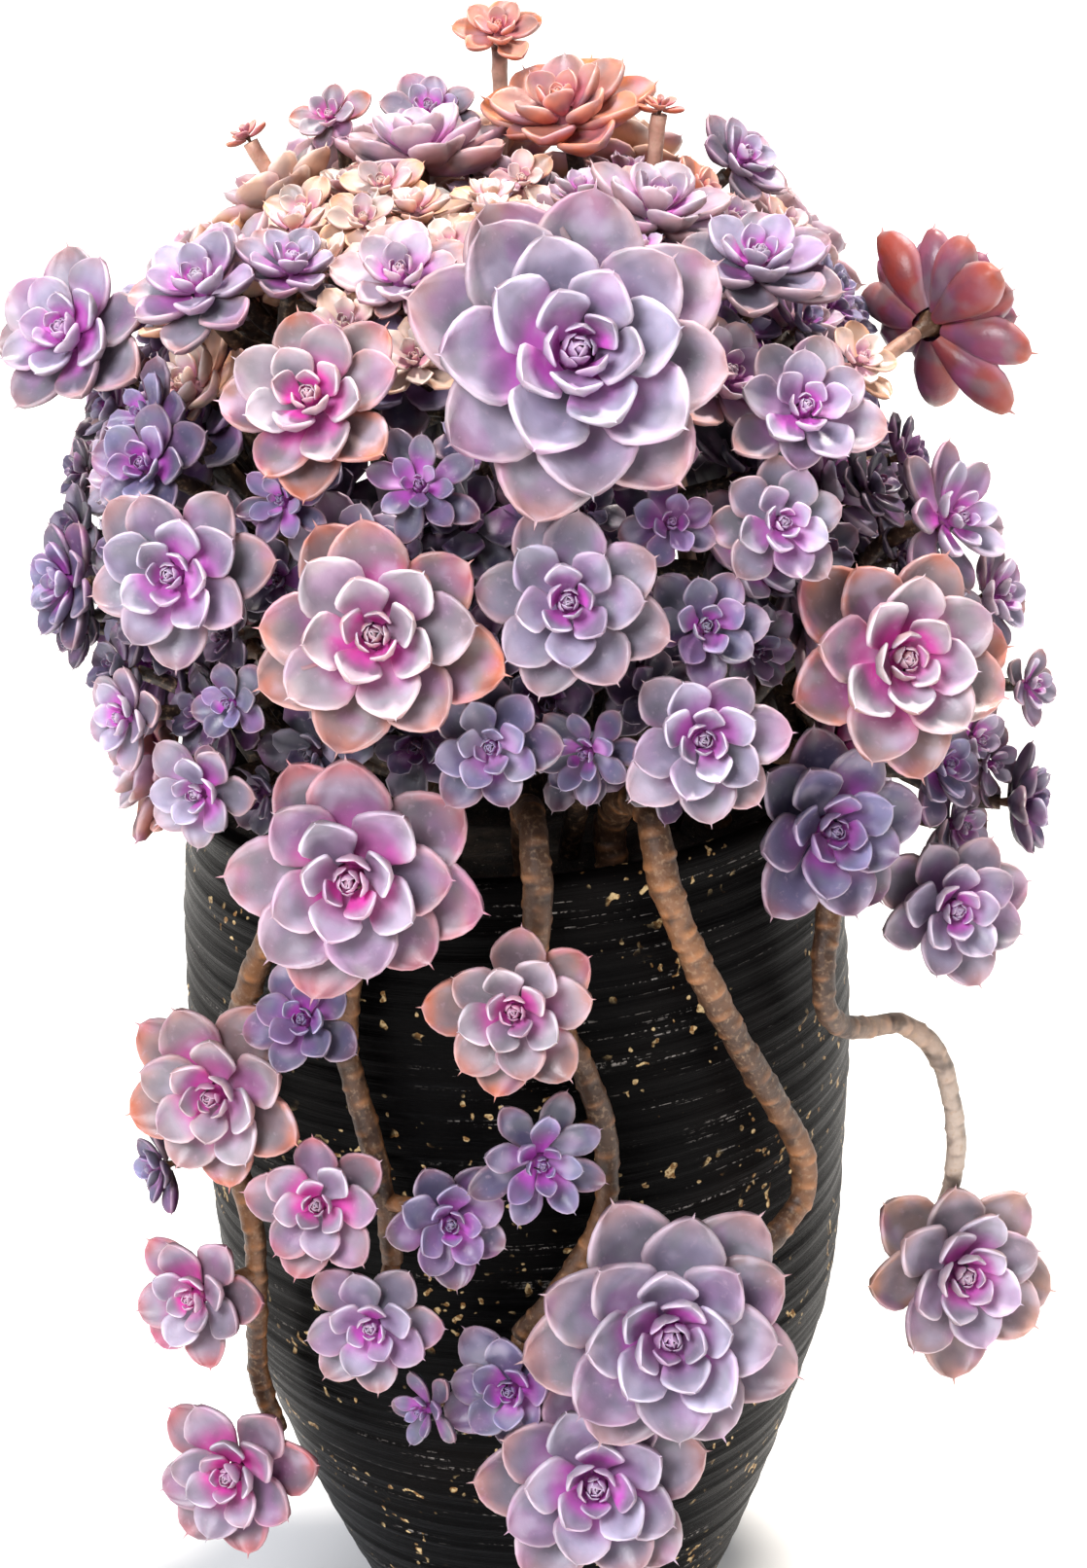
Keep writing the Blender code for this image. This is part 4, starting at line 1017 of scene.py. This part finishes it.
def scars(count, step, sides, seed):
    """Bumps where old leaves fell, which wind round a stem, and the groove above each."""
    along = np.arange(count)[:, None] * step
    turns = turns_round(sides)[None]
    draw = random.Random(seed)
    bumps, grooves = np.zeros((2, count, sides))
    spot, k = SCAR_GAP, 0
    while spot < count * step - SCAR_GAP:
        turn = math.radians(k * GOLDEN) + draw.uniform(-SCAR_TURN, SCAR_TURN)
        aside = np.abs((turns - turn + math.pi) % (2 * math.pi) - math.pi)
        near = np.exp(-(aside / SCAR_WIDE) ** 2)
        bumps = np.maximum(bumps, near * np.exp(-((along - spot) / SCAR_LONG) ** 2))
        groove = np.exp(-((along - spot - GROOVE_AFTER) / GROOVE_LONG) ** 2)
        grooves = np.maximum(grooves, near * groove)
        spot += SCAR_GAP * draw.uniform(*SCAR_GAPS)
        k += 1
    return along, turns, bumps, grooves


def add_stem(mesh, route, radii, sides, shade=1.0, tones=BARK, fade=0.0):
    """A woody stem with its scars, from its two tones, shaded, and faded towards its end."""
    step = (route[1] - route[0]).length / MM
    count = len(route)
    along, turns, bumps, grooves = scars(count, step, sides, round(route[0].x * 1e4))
    size, pace, start = SWELL
    wave = size * np.sin(along * pace + start)
    size, pace = SWIRL
    wave = wave + size * np.sin(along * pace + turns)
    sizes = 1 + wave + SCAR_RISE * bumps - GROOVE_DEPTH * SCAR_RISE * grooves
    # Paler on the scar bumps and in streaks: partly worn bark, partly a painted highlight.
    least, more = WORN_AND_HIGHLIGHT
    size, pace, lean = STREAK
    mix = np.clip(least + more * bumps + size * np.sin(along * pace + turns * lean), 0, 1)[..., None]
    bark, worn_and_highlight = np.array(tones)
    lit = 1 - GROOVE_SHADE * grooves[..., None]
    painted = (bark + (worn_and_highlight - bark) * mix) * lit * shade
    pale = fade * smooth(*FADE_ALONG, along / (count * step))[..., None]
    painted = painted + (np.array(FADED) - painted) * pale * lit
    total = count * sides
    faces = (ring_faces(count, sides), cap_faces(0, sides, total, flip=True),
             cap_faces(total - sides, sides, total + 1))
    ends = np.array([route[0], route[-1]])
    mesh.add(np.vstack([tube_points(route, radii, sides, sizes), ends]), faces, 1,
             np.vstack([painted.reshape(-1, 3), bark, bark]), MIDDLE_MARKS)


def add_stalk(mesh, kind, foot, way, goal, goal_way, head_radius=0):
    """A stem of a kind in STALKS, on a smooth curve from one point to another."""
    step, sides, first, last, wider, shade, tones = STALKS[kind]
    route = curve(foot, way, goal, goal_way, step)
    radii = np.linspace(first, last + wider * head_radius, len(route))
    add_stem(mesh, route, radii, sides, shade, tones)


def add_branch(mesh, spot, hole, rosettes):
    """The trunk from the soil to the knot, and an arm to each head."""
    foot = Vector((hole.x, hole.y, (SOIL_TOP - TRUNK_DEPTH) * MM))
    add_stalk(mesh, "trunk", foot, UP, spot, (spot - foot).normalized())
    for rosette in rosettes:
        kind = "shaded" if is_shaded(rosette.head) else "arm"
        if rosette.head.name in YOUNG_HEADS:
            kind = "young"
        out = (rosette.centre - spot).normalized()
        start = spot - out * KNOT_BACK * MM
        add_stalk(mesh, kind, start, out, rosette.neck(), rosette.normal, rosette.radius)


def stem_route(name, step):
    stops, _, _ = STEMS[name]
    over = [place(stops[0][0], *stop) for stop in OVER_RIM]
    return smooth_route(over + [place(*stop) for stop in stops], step)


def add_hanging(mesh, rosette):
    """The short stalk of a head on a trailing stem."""
    goal = rosette.neck()
    foot = min(stem_route(rosette.head.stem, FOOT_STEP), key=lambda point: (point - goal).length)
    way = (goal - foot).normalized()
    add_stalk(mesh, "hanging", foot, way, goal, rosette.normal, rosette.radius)


def add_twig(mesh, rosette, sprig):
    """A thin twig from the foot of one head to a small sprig beside it."""
    foot, goal = rosette.neck(), sprig.neck()
    add_stalk(mesh, "twig", foot, (goal - foot).normalized(), goal, sprig.normal)
    sprig.grow(mesh, FINE)


class Nodes:
    """A new material, with short ways to add nodes to it and link them."""

    def __init__(self, name):
        self.material = bpy.data.materials.new(name)
        self.material.use_nodes = True
        self.tree = self.material.node_tree
        self.shader = self.tree.nodes["Principled BSDF"]
        self.noises = {}

    def put(self, value, socket):
        """Links a socket to this one, or sets a number or a colour on it."""
        if isinstance(value, bpy.types.NodeSocket):
            self.tree.links.new(value, socket)
        elif socket.type == "RGBA":
            socket.default_value = (*value, 1)
        else:
            socket.default_value = value

    def add(self, kind, **values):
        """A node with these properties and inputs, where a name's underscores stand for spaces."""
        node = self.tree.nodes.new(f"ShaderNode{kind}")
        for key, value in values.items():
            if hasattr(node, key):
                setattr(node, key, value)
            else:
                self.put(value, node.inputs[key.replace("_", " ")])
        return node

    def tone(self):
        return self.add("VertexColor", layer_name="tone").outputs["Color"]

    def noise(self, scale, detail, rough=0.55, stretch=None):
        """Noise in the object's own coordinates, about one wave in 1/scale metres."""
        if (scale, detail) not in self.noises:
            where = self.add("TexCoord").outputs["Object"]
            if stretch:
                where = self.add("Mapping", Scale=stretch, Vector=where).outputs["Vector"]
            wave = self.add("TexNoise", Scale=scale, Detail=detail, Roughness=rough, Vector=where)
            self.noises[scale, detail] = wave.outputs["Fac"]
        return self.noises[scale, detail]

    def ramp(self, value, low, high, bottom=0.0, top=1.0):
        """A value spread from one range to another, eased and held at both ends."""
        return self.add("MapRange", interpolation_type="SMOOTHSTEP", Value=value, From_Min=low,
                        From_Max=high, To_Min=bottom, To_Max=top).outputs["Result"]

    def mixed(self, share, first, second):
        """A colour between two, each a colour or a socket."""
        mix = self.add("Mix", data_type="RGBA", Factor=share)
        for socket, value in zip((s for s in mix.inputs if s.type == "RGBA"), (first, second)):
            self.put(value, socket)
        return next(s for s in mix.outputs if s.type == "RGBA")

    def times(self, first, second, operation="MULTIPLY"):
        node = self.add("Math", operation=operation)
        self.put(first, node.inputs[0])
        self.put(second, node.inputs[1])
        return node.outputs[0]

    def wash(self, colour, wave, low, high, share, tint, limit=None):
        """Lays a tint over a colour where a noise is between two values, within a limit."""
        amount = self.ramp(self.noise(*wave), low, high, 0.0, share)
        if limit:
            amount = self.times(amount, limit)
        return self.mixed(amount, colour, tint)

    def finish(self, colour, height, strength, distance, **inputs):
        """Gives the shader its colour, its bump and its other inputs."""
        bump = self.add("Bump", Strength=strength, Distance=distance, Height=height)
        for key, value in {"Base Color": colour, "Normal": bump.outputs["Normal"], **inputs}.items():
            self.put(value, self.shader.inputs[key.replace("_", " ")])
        return self.material


def leaf_material():
    nodes = Nodes("leaf")
    marks = nodes.add("Attribute", attribute_name="marks").outputs["Vector"]
    along, beside, down = nodes.add("SeparateXYZ", Vector=marks).outputs
    upper = nodes.ramp(down, 0.2, 0.6, 1.0, 0.15)
    colour = nodes.tone()
    for *wash, fades in LEAF_WASHES:
        colour = nodes.wash(colour, *wash, upper if fades else None)
    # A pale line along the sides and the tip: partly the leaf's pale margin, partly a painted highlight
    # where the rounded edge catches the light.
    side_line_and_highlight = nodes.ramp(beside, 0.86, 1.0, 0.0, 0.16)
    tip_line_and_highlight = nodes.ramp(along, 0.93, 1.0, 0.0, 0.14)
    colour = nodes.mixed(nodes.times(side_line_and_highlight, tip_line_and_highlight, "MAXIMUM"), colour, RIM_LINE_AND_HIGHLIGHT)
    roughness = nodes.ramp(nodes.noise(*LEAF_BROAD), 0.35, 0.65, 0.34, 0.52)
    return nodes.finish(colour, nodes.noise(*LEAF_FINE), 0.25, 0.0008, Roughness=roughness,
                        Specular_IOR_Level=0.5, Subsurface_Weight=0.12,
                        Subsurface_Radius=(1.0, 0.35, 0.4), Subsurface_Scale=0.003)


def bark_material():
    nodes = Nodes("bark")
    colour = nodes.tone()
    for wash in BARK_WASHES:
        colour = nodes.wash(colour, *wash)
    return nodes.finish(colour, nodes.noise(*BARK_ROUGH), 0.5, 0.0012, Roughness=0.5)


def clay_material():
    """Nearly black clay with fine rings, pale scratches and painted glints along them, and ochre crumbs in
    places.
    """
    nodes = Nodes("fired_clay")
    line = nodes.noise(1.0, 5.0, 0.7, CLAY_STRETCH)
    patch = nodes.noise(*CLAY_PATCH)
    dots = nodes.noise(*CLAY_DOTS)
    colour = nodes.mixed(nodes.ramp(patch, 0.45, 0.75, 0.0, 0.6), *CLAY_TONES)
    # Pale scratches along the rings, partly painted glints where their glossy edges catch the light.
    scratch_and_glint = nodes.times(nodes.ramp(line, 0.585, 0.65), nodes.ramp(patch, 0.44, 0.56))
    scratch_and_glint = nodes.times(scratch_and_glint, nodes.ramp(dots, 0.48, 0.60, 0.0, 0.8))
    colour = nodes.mixed(scratch_and_glint, colour, SCRATCH_AND_GLINT_TONE)
    crumb = nodes.times(nodes.ramp(nodes.noise(*CLAY_GRAIN), 0.645, 0.675),
                        nodes.ramp(nodes.noise(*CLAY_AREA), 0.50, 0.57))
    colour = nodes.mixed(crumb, colour, nodes.mixed(nodes.ramp(dots, 0.40, 0.60), *OCHRE_TONES))
    return nodes.finish(colour, line, 0.7, 0.0010, Roughness=nodes.ramp(patch, 0.3, 0.7, 0.30, 0.46),
                        Specular_IOR_Level=0.035)


def soil_material():
    nodes = Nodes("gritty_soil")
    lumps = nodes.noise(*SOIL_LUMPS)
    colour = nodes.mixed(nodes.ramp(lumps, 0.35, 0.7), *SOIL_TONES)
    for wash in SOIL_WASHES:
        colour = nodes.wash(colour, *wash)
    return nodes.finish(colour, lumps, 0.8, 0.004, Roughness=0.95)


def turned(name, profile, sides, material, wobble):
    """A surface turned round +Z from a fine profile, with a slight hand-made wobble."""
    turns = turns_round(sides)
    rings = []
    for reach, height in profile:
        shift = sum(wobble * share * np.sin(turns * count + height * lean)
                    for share, count, lean in WOBBLES)
        size = (reach + shift * min(1, reach / 100)) * MM
        rings.append(np.stack([np.sin(turns) * size, -np.cos(turns) * size,
                               np.full(sides, height * MM)], axis=1))
    mesh = bpy.data.meshes.new(name)
    mesh.from_pydata(np.vstack(rings).tolist(), [], ring_faces(len(profile), sides).tolist())
    mesh.materials.append(material)
    mesh.shade_smooth()
    return link(name, mesh)


def pot_profile():
    """The urn's outer wall with its throwing rings, then over the rim and down inside."""
    *outside, low_rim, _, _ = POT_OUTSIDE
    heights = np.arange(0, low_rim[1], THROW_STEP)
    stops = [Vector((reach, height, 0)) * MM for reach, height in [*outside, low_rim]]
    wall = [(p.x / MM, p.y / MM) for p in smooth_route(stops, WALL_STEP)]
    reach = np.interp(heights, [h for _, h in wall], [r for r, _ in wall])
    rings = sum(size * np.sin(heights / length + start) for size, length, start in THROW_RINGS)
    rings *= smooth(0, THROW_FROM, heights)
    fine = list(zip((reach - THROW_INSET + rings).tolist(), heights.tolist()))
    return POT_FLOOR + fine[1:] + POT_RIM + POT_INSIDE


def soil_profile():
    size, turn = SOIL_WAVE
    return [(reach, SOIL_TOP + size * math.sin(reach * turn))
            for reach in range(SOIL_EDGE, -1, -SOIL_STEP)]


def add_camera():
    tilt, roll = math.radians(CAMERA_TILT), math.radians(CAMERA_ROLL)
    ahead = Vector((0, math.cos(tilt), -math.sin(tilt)))
    up = Vector((0, math.sin(tilt), math.cos(tilt)))
    right = Vector((1, 0, 0))
    wide = right * math.cos(roll) - up * math.sin(roll)
    high = right * math.sin(roll) + up * math.cos(roll)
    camera = bpy.data.cameras.new("camera")
    camera.sensor_width = SENSOR
    camera.lens = SENSOR * FOCAL_PIXELS / FRAME_HEIGHT
    pose = Matrix((wide, high, -ahead)).transposed().to_4x4()
    pose.translation = CAMERA_TARGET - ahead * CAMERA_DISTANCE
    made = link("camera", camera)
    made.matrix_world = pose
    bpy.context.scene.camera = made


def add_floor():
    size = FLOOR_SIZE
    mesh = bpy.data.meshes.new("floor")
    mesh.from_pydata([(-size, -size, 0), (size, -size, 0), (size, size, 0), (-size, size, 0)], [],
                     [(0, 1, 2, 3)])
    pale = Nodes("pale_floor")
    for key, value in (("Base Color", FLOOR_TONE), ("Roughness", 1.0), ("Specular IOR Level", 0.1)):
        pale.put(value, pale.shader.inputs[key])
    mesh.materials.append(pale.material)
    link("floor", mesh)


def add_light(name, kind, energy, colour, way):
    """A lamp that shines one way."""
    light = bpy.data.lights.new(name, kind)
    light.energy = energy
    light.color = colour
    made = link(name, light)
    made.rotation_euler = way.to_track_quat("-Z", "Y").to_euler()
    return made


def add_stage():
    """The floor, the sky, the sun and the lamp in front."""
    add_floor()
    world = bpy.data.worlds.new("pale_world")
    world.use_nodes = True
    sky = world.node_tree.nodes["Background"]
    sky.inputs["Color"].default_value = (*SKY_TONE, 1)
    sky.inputs["Strength"].default_value = SKY_STRENGTH
    bpy.context.scene.world = world
    sun = add_light("sun", "SUN", SUN_STRENGTH, SUN_TONE, -SUN_FROM)
    sun.data.angle = math.radians(SUN_SOFTNESS)
    lamp = add_light("front", "AREA", LAMP_POWER, LAMP_TONE, LAMP_AIM - LAMP_AT)
    lamp.data.shape = "DISK"
    lamp.data.size = LAMP_SIZE
    lamp.location = LAMP_AT
    bpy.context.scene.view_settings.view_transform = "Standard"


def dress(piece, slot, *nodes):
    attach(piece, "root")
    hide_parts(*nodes)


def main():
    add_camera()
    add_stage()
    materials = leaf_material(), bark_material()
    heads = DOME_HEADS + fill_heads(DOME_HEADS + TRAILING_HEADS)
    spots = knots()
    groups = share_out(heads, spots)
    used = [(name, spot) for name, spot, _ in spots if groups[name]]
    shaded = shaded_heads(heads + TRAILING_HEADS)
    for head in shaded:
        centre = place(head.azimuth, head.reach, head.height)
        name = min(used, key=lambda knot: (knot[1] - centre).length)[0]
        groups[name].append(head)
    rosettes = {head.name: Rosette(head) for head in heads + TRAILING_HEADS + shaded + [SPRIG]}
    make_room(rosettes.values())
    for name, spot, hole in spots:
        if groups[name]:
            mesh = Mesh()
            add_branch(mesh, spot, hole, [rosettes[head.name] for head in groups[name]])
            for head in groups[name]:
                rosettes[head.name].grow(mesh, pattern_for(head))
            dress(mesh.build(f"rosettes_{name}", materials), groups[name][0].tint, name)
    for head in TRAILING_HEADS:
        mesh = Mesh()
        add_hanging(mesh, rosettes[head.name])
        rosettes[head.name].grow(mesh, pattern_for(head))
        if head.name == SPRIG_BESIDE:
            add_twig(mesh, rosettes[head.name], rosettes[SPRIG.name])
        dress(mesh.build(f"rosette_{head.name}", materials), head.tint, f"head_{head.name}")
    for name, (_, start, end) in STEMS.items():
        mesh = Mesh()
        route = stem_route(name, STEM_STEP)
        add_stem(mesh, route, np.linspace(start, end, len(route)), STEM_SIDES,
                 fade=LOOP_FADE if name == "loop" else 0.0)
        dress(mesh.build(f"woody_{name}", materials), "bark", f"stem_{name}")
    dress(turned("turned_urn", pot_profile(), POT_SIDES, clay_material(), POT_WOBBLE), "clay", "pot")
    dress(turned("soil_top", soil_profile(), SOIL_SIDES, soil_material(), SOIL_WOBBLE), "soil", "soil")


main()
